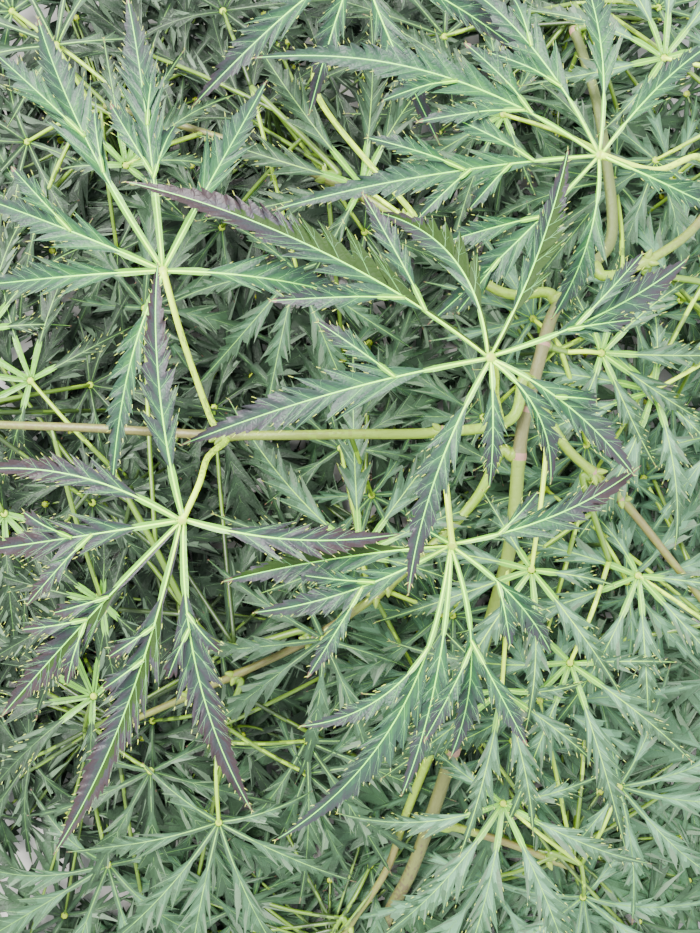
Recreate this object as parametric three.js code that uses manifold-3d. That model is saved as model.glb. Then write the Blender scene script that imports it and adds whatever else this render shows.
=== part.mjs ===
// A cut branch of a laceleaf Japanese maple, lying on a level surface.
// Millimetres, +Z up from that surface. The main stem runs from its cut end along +Y.
import * as THREE from 'three';
import { mergeVertices } from 'three/addons/utils/BufferGeometryUtils.js';
import Module from 'manifold-3d';

const wasm = await Module();
wasm.setup();

// Driving dimensions
const CENTRE = [-1, -6]; // middle of the branch's reach, which the origin lies under
const GAP = 0.3; // between a limb and what it carries
const STEM_RADII = [2.0, 1.2]; // main stem at its cut end and at its tip
const SHOOT_RADII = [1.4, 0.9];
const TWIG_RADII = [1.0, 0.75];
const STALK_RADII = [0.8, 0.65]; // leaf stalk at its foot and at the leaf
const HUB_RADIUS = 2.3; // where the lobes of a leaf meet
const HUB_HEIGHT = 1.7;
const ROOT = 1.1; // from a hub's middle to where its lobes start
const RIB_THICKNESS = 1.1; // a lobe is thickest along its midrib and ends in knife edges
const TIP_THINNING = 0.45; // share of that thickness lost towards the tip
const BARE = 0.2; // share of a lobe's length that is a bare narrow stalk
const TOOTHED = 0.86; // where its last tooth ends
const NOTCH = 0.5; // depth of the cuts between teeth, as a share of the half width
const FOLD = 0.5; // rise of a lobe's edges, as a share of how far they are from its midrib
const FORWARD = 0.035; // how far a tooth leans towards the tip, as a share of the length
const STALK_WIDTH = 1.7; // of the bare part
const COLLAR = 2; // length of a limb's square start, in its own radii
const FLOOR = 0.65; // lowest that a midrib lies
const MERGE = 1e-4; // corners nearer than this are one
const STEEP = 0.9; // upward share of a direction past which Z isn't taken as across it
const RISING = 0.3; // share of a lobe's width over which a fork from it rises with its fold
const LEAST_TURN = 0.2; // of the sine of the turn from a lobe to its fork

// Corners round each limb, and steps along it: some at its foot and some for each place
const STEM_SIDES = 8;
const STEM_STEPS = 28;
const SHOOT_SIDES = 6;
const TWIG_SIDES = 4;
const STALK_SIDES = 3;
const FOOT_STEPS = 2;
const PLACE_STEPS = 2;
const STALK_STEPS = 3;

// What a told lobe, and a smaller one that forks from it, are where nothing else is said
const LOBE = { bend: 0, arch: 2, drop: 6, width: 12, teeth: 3, rise: 0, rising: 0 };
const FORK = { bend: 0, arch: 0.5, drop: 3, width: 6, teeth: 2 };

// A leaf that grows by rule has these lobes about its middle one
const FAN = [0, 35, -35, 71, -71, 113, -113];
const SHARE = [1, 0.96, 0.96, 0.82, 0.82, 0.5, 0.5];
const FAN_WIDTH = 0.21; // of a lobe, as a share of its length, as its arch and drop are
const LEAST_WIDTH = 5;
const FAN_ARCH = 0.06;
const FAN_DROP = 0.16;
const FAN_TEETH = 2;
const FAN_VARIES = { length: 0.08, turn: 5, bend: 0.05, drop: 0.5 };
const STALK_LIFT = 2; // of the middle of its stalk
const SHORT_SHARE = 0.6; // lobes under this share of the leaf have one tooth a side
const SMALL_REACH = 47; // a leaf that reaches less has no such lobes

const radians = THREE.MathUtils.degToRad;
const heading = (degrees) =>
  new THREE.Vector3(Math.cos(radians(degrees)), Math.sin(radians(degrees)), 0);
const vector = (place) => new THREE.Vector3(...place);

// A repeatable value from -1 to 1 for the whole number n
function wobble(n) {
  const s = Math.sin(n * 12.9898 + 4.1414) * 43758.5453;
  return 2 * (s - Math.floor(s)) - 1;
}

// Joining and cutting
function solidOf(geometry) {
  const bare = geometry.clone();
  bare.deleteAttribute('normal');
  bare.deleteAttribute('uv');
  const merged = mergeVertices(bare, MERGE);
  return new wasm.Manifold(new wasm.Mesh({
    numProp: 3,
    vertProperties: new Float32Array(merged.getAttribute('position').array),
    triVerts: new Uint32Array(merged.index.array),
  }));
}

function geometryOf(solid) {
  const mesh = solid.getMesh();
  const geometry = new THREE.BufferGeometry();
  geometry.setAttribute('position', new THREE.BufferAttribute(mesh.vertProperties, 3));
  geometry.setIndex(new THREE.BufferAttribute(mesh.triVerts, 1));
  geometry.computeVertexNormals();
  return geometry;
}

const joined = (solids) => solids.reduce((whole, piece) => whole.add(piece));

function indexed(points, faces) {
  const geometry = new THREE.BufferGeometry().setFromPoints(points);
  geometry.setIndex(faces.flat());
  return geometry;
}

// A limb is a smooth curve through its places, with a radius that tapers from foot to tip
function limb(places, [foot, tip]) {
  const curve = new THREE.CatmullRomCurve3(places.map(vector), false, 'catmullrom', 0.5);
  return { curve, radius: (t) => foot + (tip - foot) * t };
}

// Rings of corners round the curve, each carried on from the one before, with flat ends
function tube({ curve, radius }, sides, steps) {
  const points = [];
  const faces = [];
  const across = new THREE.Vector3(0, 0, 1);
  for (let i = 0; i <= steps; i++) {
    const t = i / steps;
    const centre = curve.getPoint(t);
    const along = curve.getTangent(t);
    if (i === 0 && Math.abs(along.z) > STEEP) across.set(1, 0, 0);
    across.addScaledVector(along, -across.dot(along)).normalize();
    const beside = along.clone().cross(across);
    for (let j = 0; j < sides; j++) {
      const angle = (2 * Math.PI * (j + 0.5)) / sides;
      points.push(centre.clone()
        .addScaledVector(across, radius(t) * Math.cos(angle))
        .addScaledVector(beside, radius(t) * Math.sin(angle)));
    }
  }
  const corner = (i, j) => i * sides + (j % sides);
  for (let i = 0; i < steps; i++) {
    for (let j = 0; j < sides; j++) {
      faces.push([corner(i, j), corner(i, j + 1), corner(i + 1, j)]);
      faces.push([corner(i, j + 1), corner(i + 1, j + 1), corner(i + 1, j)]);
    }
  }
  for (let j = 1; j < sides - 1; j++) {
    faces.push([corner(0, 0), corner(0, j + 1), corner(0, j)]);
    faces.push([corner(steps, 0), corner(steps, j), corner(steps, j + 1)]);
  }
  return solidOf(indexed(points, faces));
}

// The first two places of a limb of the given radius that leaves its carrier squarely,
// on the side that towards lies on
function seat(carrier, t, towards, radius) {
  const centre = carrier.curve.getPoint(t);
  const along = carrier.curve.getTangent(t);
  const out = vector(towards).sub(centre);
  out.addScaledVector(along, -out.dot(along)).normalize();
  const reach = carrier.radius(t) + GAP;
  return [reach, reach + COLLAR * radius].map((away) => (
    centre.clone().addScaledVector(out, away).toArray()));
}

// Place on a lobe's midrib at the share t of its length. A fork also rises with the lobe that it leaves.
function ribPoint(lobe, t) {
  const side = 4 * lobe.bend * t * (1 - t);
  const point = lobe.root.clone()
    .addScaledVector(heading(lobe.toward), lobe.length * t)
    .addScaledVector(heading(lobe.toward + 90), lobe.length * side);
  const rise = lobe.rise * Math.min(lobe.rising, lobe.length * t);
  point.z = Math.max(FLOOR, point.z + rise + 4 * lobe.arch * t * (1 - t) - lobe.drop * t * t);
  return point;
}

function ribSide(lobe, t) {
  const turn = 4 * lobe.bend * (1 - 2 * t);
  return heading(lobe.toward + 90).addScaledVector(heading(lobe.toward), -turn).normalize();
}

// Half a lobe's width: one blunt hump, fullest a little before the middle of the toothed part
function halfWidth(lobe, t) {
  const share = (t - BARE) / (1 - BARE);
  return (lobe.width / 2) * Math.sin(Math.PI * share ** 0.75) ** 0.8;
}

// A lobe: two rows of forward-leaning teeth beside a midrib, widest near its middle and
// folded up from the midrib
function lobeSolid(lobe, extra = 0) {
  const points = [];
  const faces = [];
  const put = (point, lift = 0) => points.push(point.clone().setZ(point.z + lift)) - 1;
  const rib = (t) => {
    const half = (RIB_THICKNESS * (1 - TIP_THINNING * t) + extra) / 2;
    const point = ribPoint(lobe, t);
    return [put(point, half), put(point, -half)];
  };
  const edge = (t, offset, ahead = 0) => {
    const point = ribPoint(lobe, Math.min(1, t + ahead));
    return put(point.addScaledVector(ribSide(lobe, t), offset), FOLD * Math.abs(offset));
  };
  const station = (k) => BARE + ((TOOTHED - BARE) * k) / lobe.teeth;
  const root = rib(0);
  const ribs = Array.from({ length: lobe.teeth + 1 }, (_, k) => rib(station(k)));
  const apex = put(ribPoint(lobe, 1));
  for (const side of [1, -1]) {
    // The same face on the blade's top and, turned over, on its underside
    const both = (a, b, c) => {
      const top = [a, b, c].map((v) => (Array.isArray(v) ? v[0] : v));
      const under = [c, b, a].map((v) => (Array.isArray(v) ? v[1] : v));
      faces.push(...(side > 0 ? [top, under] : [top.reverse(), under.reverse()]));
    };
    let notch = edge(BARE, side * (STALK_WIDTH + extra) / 2);
    both(root, ribs[0], notch);
    faces.push(side > 0 ? [root[0], notch, root[1]] : [root[1], notch, root[0]]);
    for (let k = 0; k < lobe.teeth; k++) {
      const end = station(k + 1);
      const wide = halfWidth(lobe, (station(k) + end) / 2) + extra;
      const tip = edge(end, side * wide, FORWARD);
      const next = edge(end, side * wide * NOTCH);
      both(ribs[k], ribs[k + 1], next);
      both(ribs[k], next, tip);
      both(ribs[k], tip, notch);
      notch = next;
    }
    both(ribs[lobe.teeth], apex, notch);
  }
  return solidOf(indexed(points, faces));
}

const lobeRoot = (hub, toward) => vector(hub).addScaledVector(heading(toward), ROOT);

const hubSolid = (place) => solidOf(
  new THREE.CylinderGeometry(HUB_RADIUS * 0.7, HUB_RADIUS, HUB_HEIGHT, 5)
    .rotateX(Math.PI / 2)
    .translate(...place));

// Fills in what a lobe leaves unsaid, and adds the smaller lobes that fork from it
function lobesOf(hub, rows) {
  return rows.flatMap(({ forks = [], ...row }) => {
    const root = lobeRoot(hub, row.toward);
    const lobe = { root, ...LOBE, ...row };
    const side = forks.map(({ at, ...fork }) => {
      const turn = Math.abs(Math.sin(radians(fork.toward - row.toward)));
      const rising = (lobe.width * RISING) / Math.max(LEAST_TURN, turn);
      return { ...FORK, ...fork, root: ribPoint(lobe, at), rise: FOLD * turn, rising };
    });
    return [lobe, ...side];
  });
}

// The lobes of a leaf that grows by rule: hub place, heading of its middle lobe and reach
function fanLobes([x, y, z, middle, reach], seed) {
  const turns = reach < SMALL_REACH ? FAN.filter((_, k) => SHARE[k] > SHORT_SHARE) : FAN;
  return turns.map((turn, k) => {
    const length = reach * SHARE[k] * (1 + FAN_VARIES.length * wobble(seed * 7 + k));
    const toward = middle + turn + FAN_VARIES.turn * wobble(seed * 11 + k);
    return {
      ...LOBE,
      root: lobeRoot([x, y, z], toward),
      toward,
      length,
      width: Math.max(LEAST_WIDTH, FAN_WIDTH * length),
      bend: FAN_VARIES.bend * wobble(seed * 13 + k),
      arch: FAN_ARCH * length,
      drop: FAN_DROP * length * (1 + FAN_VARIES.drop * wobble(seed * 17 + k)),
      teeth: SHARE[k] < SHORT_SHARE ? 1 : FAN_TEETH,
    };
  });
}

const branch = new THREE.Group();
branch.position.set(-CENTRE[0], -CENTRE[1], 0);
const placed = []; // solids already on the branch

const colours = { bark: 0xa8957a, greenBark: 0xb4b684, leaf: 0x728a6c, deepLeaf: 0x5d7a5c };

function add(name, solid, colour) {
  const material = new THREE.MeshStandardMaterial({ color: colours[colour], roughness: 0.6, metalness: 0 });
  const mesh = new THREE.Mesh(geometryOf(solid), material);
  mesh.name = name;
  branch.add(mesh);
  placed.push(solid);
}

const isClear = (solid) => placed.every((other) => solid.intersect(other).isEmpty());

// Limbs
const mainStem = limb([
  [4, -178, 2.31], [4, -160, 2.31], [10, -135, 10], [18, -113, 20], [26, -83, 31], [34, -48, 42],
  [40, -20, 50], [42, 8, 55], [46, 26, 57], [50, 38, 55], [58, 48, 52], [66, 58, 48],
  [66, 80, 43], [64, 100, 38], [60, 122, 30],
], STEM_RADII);
add('main_stem', tube(mainStem, STEM_SIDES, STEM_STEPS), 'bark');

// Shoots, each with the place t on its carrier where it starts, and the places it runs through
const shoots = {
  left_shoot: [mainStem, 0.545, [[38, 11, 60], [20, 8, 64], [0, 7.5, 66], [-30, 7.3, 66],
    [-60, 9, 64], [-84, 10, 60], [-98, 11, 55]]],
  lower_left_shoot: [mainStem, 0.485, [[31, -9, 49], [16, -25, 45], [6, -34, 42], [-13, -47, 37],
    [-43, -62, 30], [-68, -74, 24]]],
  lower_right_shoot: [mainStem, 0.52, [[54, 4, 53], [68, -8, 49], [84, -26, 44], [98, -42, 38]]],
  right_shoot: [mainStem, 0.73, [[70, 49, 52], [84, 58, 53], [95, 74, 51], [101, 92, 46]]],
  upper_left_shoot: [mainStem, 0.66, [[36, 44, 52], [14, 62, 48], [-14, 78, 42], [-44, 90, 37],
    [-66, 97, 33]]],
  bottom_left_shoot: [mainStem, 0.3, [[16, -96, 24], [10, -116, 18], [-2, -136, 13]]],
  bottom_right_shoot: [mainStem, 0.25, [[30, -100, 26], [44, -104, 27], [62, -112, 24]]],
};
const limbs = { mainStem };
for (const [name, [carrier, t, places]] of Object.entries(shoots)) {
  const start = seat(carrier, t, places[0], SHOOT_RADII[0]);
  limbs[name] = limb([...start, ...places], SHOOT_RADII);
  const steps = FOOT_STEPS + PLACE_STEPS * places.length;
  add(name, tube(limbs[name], SHOOT_SIDES, steps), 'greenBark');
}

// The large leaves on top, each on its own stalk, with every lobe told
const largeLeaves = {
  leaf_upper_left: {
    hub: [-41, 43, 78],
    stalk: [limbs.left_shoot, 0.628, [[-32, 11.5, 70], [-37, 28, 76]]],
    lobes: [
      { toward: 117, length: 66, bend: 0.03, width: 14, drop: 9,
        forks: [{ at: 0.5, toward: 137, length: 27, width: 8 }] },
      { toward: 98, length: 62, bend: -0.02, width: 16, drop: 3 },
      { toward: 64, length: 49, bend: -0.02, width: 10, drop: 8 },
      { toward: -7, length: 45, bend: 0.02, width: 11, drop: 7 },
      { toward: 157, length: 46, width: 11, drop: 8,
        forks: [{ at: 0.45, toward: 133, length: 20 }] },
      { toward: 181, length: 44, bend: 0.02, width: 10, drop: 12 },
      { toward: 255, length: 49, bend: -0.03, width: 8, drop: 7 },
    ],
  },
  leaf_lower_left: {
    hub: [-36, -11.5, 82],
    stalk: [limbs.left_shoot, 0.62, [[-32, 2, 73], [-33, -4, 79]]],
    lobes: [
      { toward: 95, length: 54, bend: 0.03, width: 9, arch: 4, drop: -2 },
      { toward: 167, length: 46, bend: -0.09, width: 9, drop: 4 },
      { toward: 189, length: 46, width: 12, drop: 8,
        forks: [{ at: 0.4, toward: 227, length: 21 }] },
      { toward: 226, length: 64, width: 13, drop: 16 },
      { toward: 247, length: 86, bend: 0.05, width: 14, drop: 20, teeth: 4 },
      { toward: 281, length: 69, bend: -0.05, width: 10, drop: 16 },
      { toward: -4, length: 46, bend: -0.05, width: 10, arch: 3, drop: 3 },
    ],
  },
  leaf_centre: {
    hub: [29, 22.5, 90],
    stalk: [limbs.left_shoot, 0.275, [[33, 16, 72], [31, 20, 84]]],
    lobes: [
      { toward: 122, length: 43, bend: -0.12, width: 11, drop: 26 },
      { toward: 69, length: 47, bend: -0.03, width: 9, drop: 6 },
      { toward: 27, length: 48, bend: -0.05, width: 14, drop: 8 },
      { toward: -37, length: 40, bend: 0.04, width: 11, drop: 10 },
      { toward: -61, length: 29, bend: 0.1, width: 7, drop: 10 },
      { toward: -88, length: 26, width: 6, drop: 8 },
      { toward: 252, length: 52, bend: -0.06, width: 9, drop: 9 },
      { toward: 195, length: 68, bend: -0.02, width: 13, drop: 14,
        forks: [{ at: 0.28, toward: 144, length: 20 }] },
      { toward: 154, length: 84, bend: -0.05, width: 15, drop: 4, teeth: 4,
        forks: [{ at: 0.18, toward: 118, length: 28 }, { at: 0.24, toward: 181, length: 28 }] },
    ],
  },
  leaf_lower_centre: {
    hub: [22.6, -17.4, 76],
    stalk: [limbs.left_shoot, 0.365, [[21.5, 1, 69], [22, -8, 73]]],
    lobes: [
      { toward: 22, length: 46, bend: -0.05, width: 11, drop: 5 },
      { toward: -47, length: 34, bend: 0.06, width: 9, drop: 9 },
      { toward: -89, length: 50, bend: 0.08, width: 12, drop: 12,
        forks: [{ at: 0.4, toward: -62, length: 27, width: 7 }] },
      { toward: 260, length: 60, bend: 0.03, width: 9, drop: 12 },
      { toward: 241, length: 84, bend: 0.1, width: 11, drop: 22, teeth: 4 },
      { toward: 200, length: 47, bend: 0.04, width: 11, drop: 9 },
      { toward: 190, length: 52, bend: -0.03, width: 12, drop: 8 },
      { toward: 149, length: 10, width: 6, drop: 0, teeth: 1 },
    ],
  },
  leaf_upper_right: {
    hub: [55.4, 69, 76],
    stalk: [limbs.right_shoot, 0.72, [[81, 72, 66], [69, 67, 72]]],
    lobes: [
      { toward: 125, length: 50, bend: -0.03, width: 11, drop: 8 },
      { toward: 94, length: 45, bend: -0.04, width: 10, drop: 6 },
      { toward: 45, length: 38, bend: 0.04, width: 8, drop: 6 },
      { toward: -19, length: 32, bend: -0.05, width: 7, drop: 7 },
      { toward: 256, length: 35, bend: 0.06, width: 9, drop: 9 },
      { toward: 224, length: 51, bend: 0.02, width: 11, drop: 9 },
      { toward: 188, length: 73, bend: -0.01, width: 12, drop: 7, teeth: 4 },
      { toward: 162, length: 81, bend: -0.07, width: 12, drop: 8, teeth: 4 },
    ],
  },
  leaf_top: {
    hub: [2, 118, 66],
    stalk: [limbs.upper_left_shoot, 0.5, [[-8, 92, 52], [-4, 106, 60]]],
    lobes: [
      { toward: 218, length: 50, width: 10, drop: 8 },
      { toward: 250, length: 34, width: 8, drop: 9 },
      { toward: 296, length: 44, bend: -0.04, width: 9, drop: 8 },
      { toward: 335, length: 46, width: 10, drop: 10 },
      { toward: 182, length: 46, width: 10, drop: 10 },
      { toward: 30, length: 34, width: 9, drop: 9 },
      { toward: 130, length: 34, width: 9, drop: 9 },
    ],
  },
};

for (const [name, { hub, stalk, lobes }] of Object.entries(largeLeaves)) {
  const [carrier, t, places] = stalk;
  const start = seat(carrier, t, places[0], STALK_RADII[0]);
  const line = limb([...start, ...places, hub], STALK_RADII);
  add(name, joined([
    tube(line, TWIG_SIDES, FOOT_STEPS + PLACE_STEPS * places.length),
    hubSolid(hub),
    ...lobesOf(hub, lobes).map((lobe) => lobeSolid(lobe)),
  ]), 'leaf');
}

// Sprays: a twig from a shoot, and leaves that grow by rule, each told by its hub's place,
// the heading of its middle lobe and its reach
const sprays = {
  spray_left_tip: [limbs.left_shoot, 0.96, [[-100, 16, 50]],
    [[-92, 35, 46, 112, 40], [-88, -12, 46, 236, 40]]],
  spray_left: [limbs.lower_left_shoot, 0.7, [[-36, -46, 38], [-52, -18, 42], [-62, 0, 42]],
    [[-82, 22, 44, 140, 54], [-86, -28, 34, 200, 46]]],
  spray_lower_left: [limbs.lower_left_shoot, 0.97, [[-74, -74, 24]],
    [[-67, -60, 40, 150, 52], [-68, -112, 22, 252, 56], [-92, -84, 16, 200, 40]]],
  spray_lower_middle: [limbs.lower_left_shoot, 0.8, [[-36, -74, 33]],
    [[-35, -95, 35, 262, 50], [-12, -76, 26, 300, 48]]],
  spray_centre: [limbs.lower_left_shoot, 0.56, [[4, -28, 46]],
    [[2.5, -22, 49, 92, 50]]],
  spray_bottom: [limbs.bottom_left_shoot, 0.96, [[-7, -140, 12]],
    [[-14, -146, 10, 262, 32], [-28, -126, 12, 196, 44]]],
  spray_bottom_right: [limbs.bottom_right_shoot, 0.9, [[64, -110, 26]],
    [[74, -88, 28, 350, 46], [66, -122, 20, 290, 44], [40, -88, 40, 262, 54]]],
  spray_right_middle: [limbs.lower_right_shoot, 0.5, [[66, -24, 46]],
    [[56, -50, 46, 250, 52]]],
  spray_right_low: [limbs.lower_right_shoot, 0.95, [[101, -46, 37]],
    [[74, -28, 44, 240, 48], [96, -14, 34, 20, 36]]],
  spray_right: [limbs.right_shoot, 0.45, [[92, 44, 50], [92, 28, 48]],
    [[76, 19, 50, 205, 46], [96, 38, 36, 350, 34]]],
  spray_fork: [mainStem, 0.59, [[53, 28, 55]],
    [[62, 28, 53, 5, 36]]],
  spray_right_top: [limbs.right_shoot, 0.9, [[106, 95, 48]],
    [[80, 104, 46, 120, 46], [100, 68, 34, 0, 32]]],
  spray_top: [mainStem, 0.985, [[61, 126, 30]],
    [[26, 118, 28, 160, 46], [86, 128, 24, 50, 40]]],
  spray_upper_left: [limbs.upper_left_shoot, 0.62, [[-26, 100, 38]],
    [[-34, 122, 34, 80, 46], [-14, 52, 36, 260, 44]]],
  spray_far_left: [limbs.upper_left_shoot, 0.96, [[-70, 98, 32]],
    [[-78, 112, 36, 120, 50], [-86, 70, 26, 190, 42]]],
  spray_under_left: [limbs.lower_left_shoot, 0.86, [[-48, -52, 20], [-50, -34, 12]],
    [[-54, -14, 10, 100, 50]]],
  spray_under_middle: [limbs.lower_left_shoot, 0.52, [[2, -30, 22], [6, -10, 12]],
    [[8, 8, 10, 80, 52]]],
  spray_under_right: [limbs.lower_right_shoot, 0.6, [[74, 2, 30], [68, 14, 15]],
    [[60, 30, 11, 110, 48]]],
};

let seed = 0;
for (const [name, [carrier, t, places, leaves]] of Object.entries(sprays)) {
  const start = seat(carrier, t, places[0], TWIG_RADII[0]);
  const twig = limb([...start, ...places], TWIG_RADII);
  const pieces = [tube(twig, TWIG_SIDES, FOOT_STEPS + PLACE_STEPS * places.length)];
  for (const leaf of leaves) {
    seed += 1;
    const hub = leaf.slice(0, 3);
    const foot = vector(places.at(-1));
    const middle = foot.clone().lerp(vector(hub), 0.5);
    middle.z += STALK_LIFT;
    const line = limb([foot.toArray(), middle.toArray(), hub], STALK_RADII);
    pieces.push(tube(line, STALK_SIDES, STALK_STEPS), hubSolid(hub));
    for (const lobe of fanLobes(leaf, seed)) {
      if (isClear(lobeSolid(lobe, 2 * GAP))) pieces.push(lobeSolid(lobe));
    }
  }
  add(name, joined(pieces), 'deepLeaf');
}

export default branch;
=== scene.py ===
"""A cut branch of a laceleaf Japanese maple, lying on a level floor and seen from straight above."""

import bpy
import numpy as np
from mathutils import Matrix


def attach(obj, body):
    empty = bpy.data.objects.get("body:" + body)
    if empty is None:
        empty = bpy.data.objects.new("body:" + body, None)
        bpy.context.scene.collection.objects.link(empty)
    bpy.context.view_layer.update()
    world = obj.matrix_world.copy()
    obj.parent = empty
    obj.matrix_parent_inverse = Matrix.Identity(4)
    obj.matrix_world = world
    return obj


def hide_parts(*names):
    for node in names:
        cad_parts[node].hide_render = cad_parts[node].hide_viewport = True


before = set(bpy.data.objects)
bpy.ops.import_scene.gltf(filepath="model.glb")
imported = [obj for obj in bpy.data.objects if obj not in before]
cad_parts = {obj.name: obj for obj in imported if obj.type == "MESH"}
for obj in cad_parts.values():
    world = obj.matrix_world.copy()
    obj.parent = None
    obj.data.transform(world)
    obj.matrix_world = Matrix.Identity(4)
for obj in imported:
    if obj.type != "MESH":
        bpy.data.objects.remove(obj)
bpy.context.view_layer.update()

# Driving dimensions
MM = 0.001  # the branch is worked out in millimetres, as its solids are
CENTRE = np.array([-1.0, -6.0, 0.0])  # middle of the branch's reach, which the origin lies under
GAP = 0.3  # between a limb's solid and what it carries
STEM_RADII = (2.0, 1.2)
SHOOT_RADII = (1.4, 0.9)
TWIG_RADII = (1.0, 0.75)
STALK_RADII = (0.8, 0.65)
FINE_STALK = 0.8  # stalks of the sprays' leaves, as a share of those radii
COLLAR = 2  # length of a limb's square start, in its own radii
SUNK = 0.6  # depth of a limb's foot in what carries it, as a share of the carrier's radius
HUB_RADIUS = 1.75  # of the knob where the lobes of a leaf meet
HUB_HEIGHT = 1.3
ROOT = 1.1  # from a hub's middle to where its lobes start
FLOOR = 0.65  # lowest that a midrib lies

# A lobe: a bare stalk, then side lobules that lean forward, with teeth, and a long point
BARE = 0.18  # share of a lobe's length that is its stalk, where nothing else is said
STALK_HALF = (0.6, 0.9)  # half the stalk's width at the hub and where the lobules start
TOOTH_STEP = 2.4  # length of midrib to each tooth of the outer strip
TOOTH_POINT = 0.85  # place of a tooth's point between its foot and the next
LOBULE_BASE = 10.0  # length of midrib under the first lobule of a lobe of LOBULE_LENGTH or more
LOBULE_LENGTH = 72.0
LOBULE_FALL = 0.66  # each lobule's excess over a tooth, as a share of the one before
LOBULE_TEETH = (1.35, 1.7, 2.1, 2.6, 3.2)  # bases, in steps, from which a lobule has 2 teeth, 3, and so on
LEADING = np.array([0, 0, 0, 1, 2, 2, 3]) + TOOTH_POINT  # phase of the leading tooth, by the number of teeth
STAGGER = 1.12  # power by which the right side's lobules come sooner than the left side's
LEAN = (25.0, 36.0)  # degrees from the midrib to a side vein, first and last
SWEEP = 0.1  # forward curve of a lobule, as a share of its length
STRIP = 0.5  # half the uncut strip's width in a lobe a millimetre wide; it goes as the root of the width
FULLNESS = (0.55, 2.5)  # powers of the rise and fall of the lobules' reach
LOBULE_REACH = 0.6  # most that a lobule stands out past the uncut strip, as a share of its base
UNCUT = (0.04, 0.08, 0.75)  # part of that reach which the first cut leaves, each later one adds, and the most
UNCUT_VARIES = 0.6
REACH_VARIES = 0.22
LEAN_VARIES = 4.0  # degrees
TILT = 0.3  # most rise of a lobule's point over its own width
CURL_WIDTH = 12.0  # width at which a blade's curl brings its edge down by the curl itself
TOOTH = 0.5  # how far a tooth stands out
POINTED = 0.25  # teeth whose dealt value, from -1 to 1, is below this have a pale point
POINT_RADII = (0.115, 0.085, 0.025)
LEAST_HALF = 0.1  # half the width of the point's end
BLADE = 0.3  # thickness beside the midrib
MIDRIB = (0.27, 0.085)  # radii of a midrib, first and last
TONES = 10  # of a blade
SCATTER = 0.04  # of a blade's tone from face to face
STREAK = 0.06  # of it from thread to thread
RIB_TONES = 5  # of midribs and side veins
SIDE_VEIN = (0.09, 0.035)
FINE_VEIN = (0.06, 0.03)

# What a lobe, and a smaller one that forks from it, are where nothing else is said. The first row is its
# course, the second its blade, and the last its colour
LOBE = dict(bend=0.0, arch=2.0, drop=6.0, width=12.0, rise=0.0, limit=0.0, bare=BARE,
            swell=0.42, stalk=1.0, rib=1.0, thick=1.0, coarse=1.0, slim=1.0, fine=True,
            tint=0.2, edging=0.32, ageing=0.42, lit=0, fresh=True)
FORK = dict(bend=0.0, arch=0.5, drop=3.0)
FORK_WIDTH = 6.0
FORK_LOOKS = dict(stalk=0.7, rib=0.7, wave=0.0)
FORK_LIFT = 0.12  # of its foot over its lobe's midrib
# What each lobe is dealt by its seed: the middle value, how much it varies, the seed's multiple and offset
DEALT = dict(fold=(0.45, 0.15, 3, 0), roll=(0, 0.2, 5, 0), twist=(0, 0.3, 7, 1), wave=(0, 0.9, 11, 0),
             shift=(0, 1, 13, 0), curl=(0.35, 0.3, 17, 0), blush=(0.965, 0.02, 19, 0))

# A leaf that grows by rule has these lobes about its middle one
FAN = (0, 35, -35, 71, -71, 113, -113)
SHARE = (1, 0.96, 0.96, 0.82, 0.82, 0.5, 0.5)
FAN_WIDTH = 0.21
LEAST_WIDTH = 5.0
FINENESS = 0.86  # a drawn lobe's width, as a share of its solid's
FAN_ARCH = 0.06
FAN_DROP = 0.16
REACH_LIMIT = (146.0, 184.0)  # how far from the branch's middle a drawn lobe goes, across and along it
FAN_VARIES = dict(length=0.08, turn=5, bend=0.05, drop=0.5)
STALK_LIFT = 2.0

# The camera looks straight down, FOCUS_DISTANCE over FOCUS_HEIGHT, where the leaves on top lie.
LENS = 35.0
SENSOR = 36.0  # along the picture's long side
FOCUS_HEIGHT = 80.0
FOCUS_DISTANCE = 197.0


# Sums that the shapes share
def wobble(n):
    """A repeatable value from -1 to 1 for a whole number: twice the fraction of a large sine, less one."""
    s = np.sin(np.asarray(n, float) * 12.9898 + 4.1414) * 43758.5453
    return 2 * (s - np.floor(s)) - 1


def unit(v):
    """Each vector over its own length."""
    return v / np.linalg.norm(v, axis=-1, keepdims=True)


def heading(degrees):
    """The level unit vector at that angle from +X towards +Y."""
    a = np.radians(np.asarray(degrees, float))
    return np.stack([np.cos(a), np.sin(a), np.zeros_like(a)], -1)


def ease(low, high, x):
    """0 below low, 1 above high, and the cubic 3x^2 - 2x^3 between them."""
    x = np.clip((x - low) / (high - low), 0, 1)
    return x * x * (3 - 2 * x)


def between(pair, x):
    """The straight mix of a pair of values, the first at 0 and the second at 1."""
    return pair[0] + (pair[1] - pair[0]) * x


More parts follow.
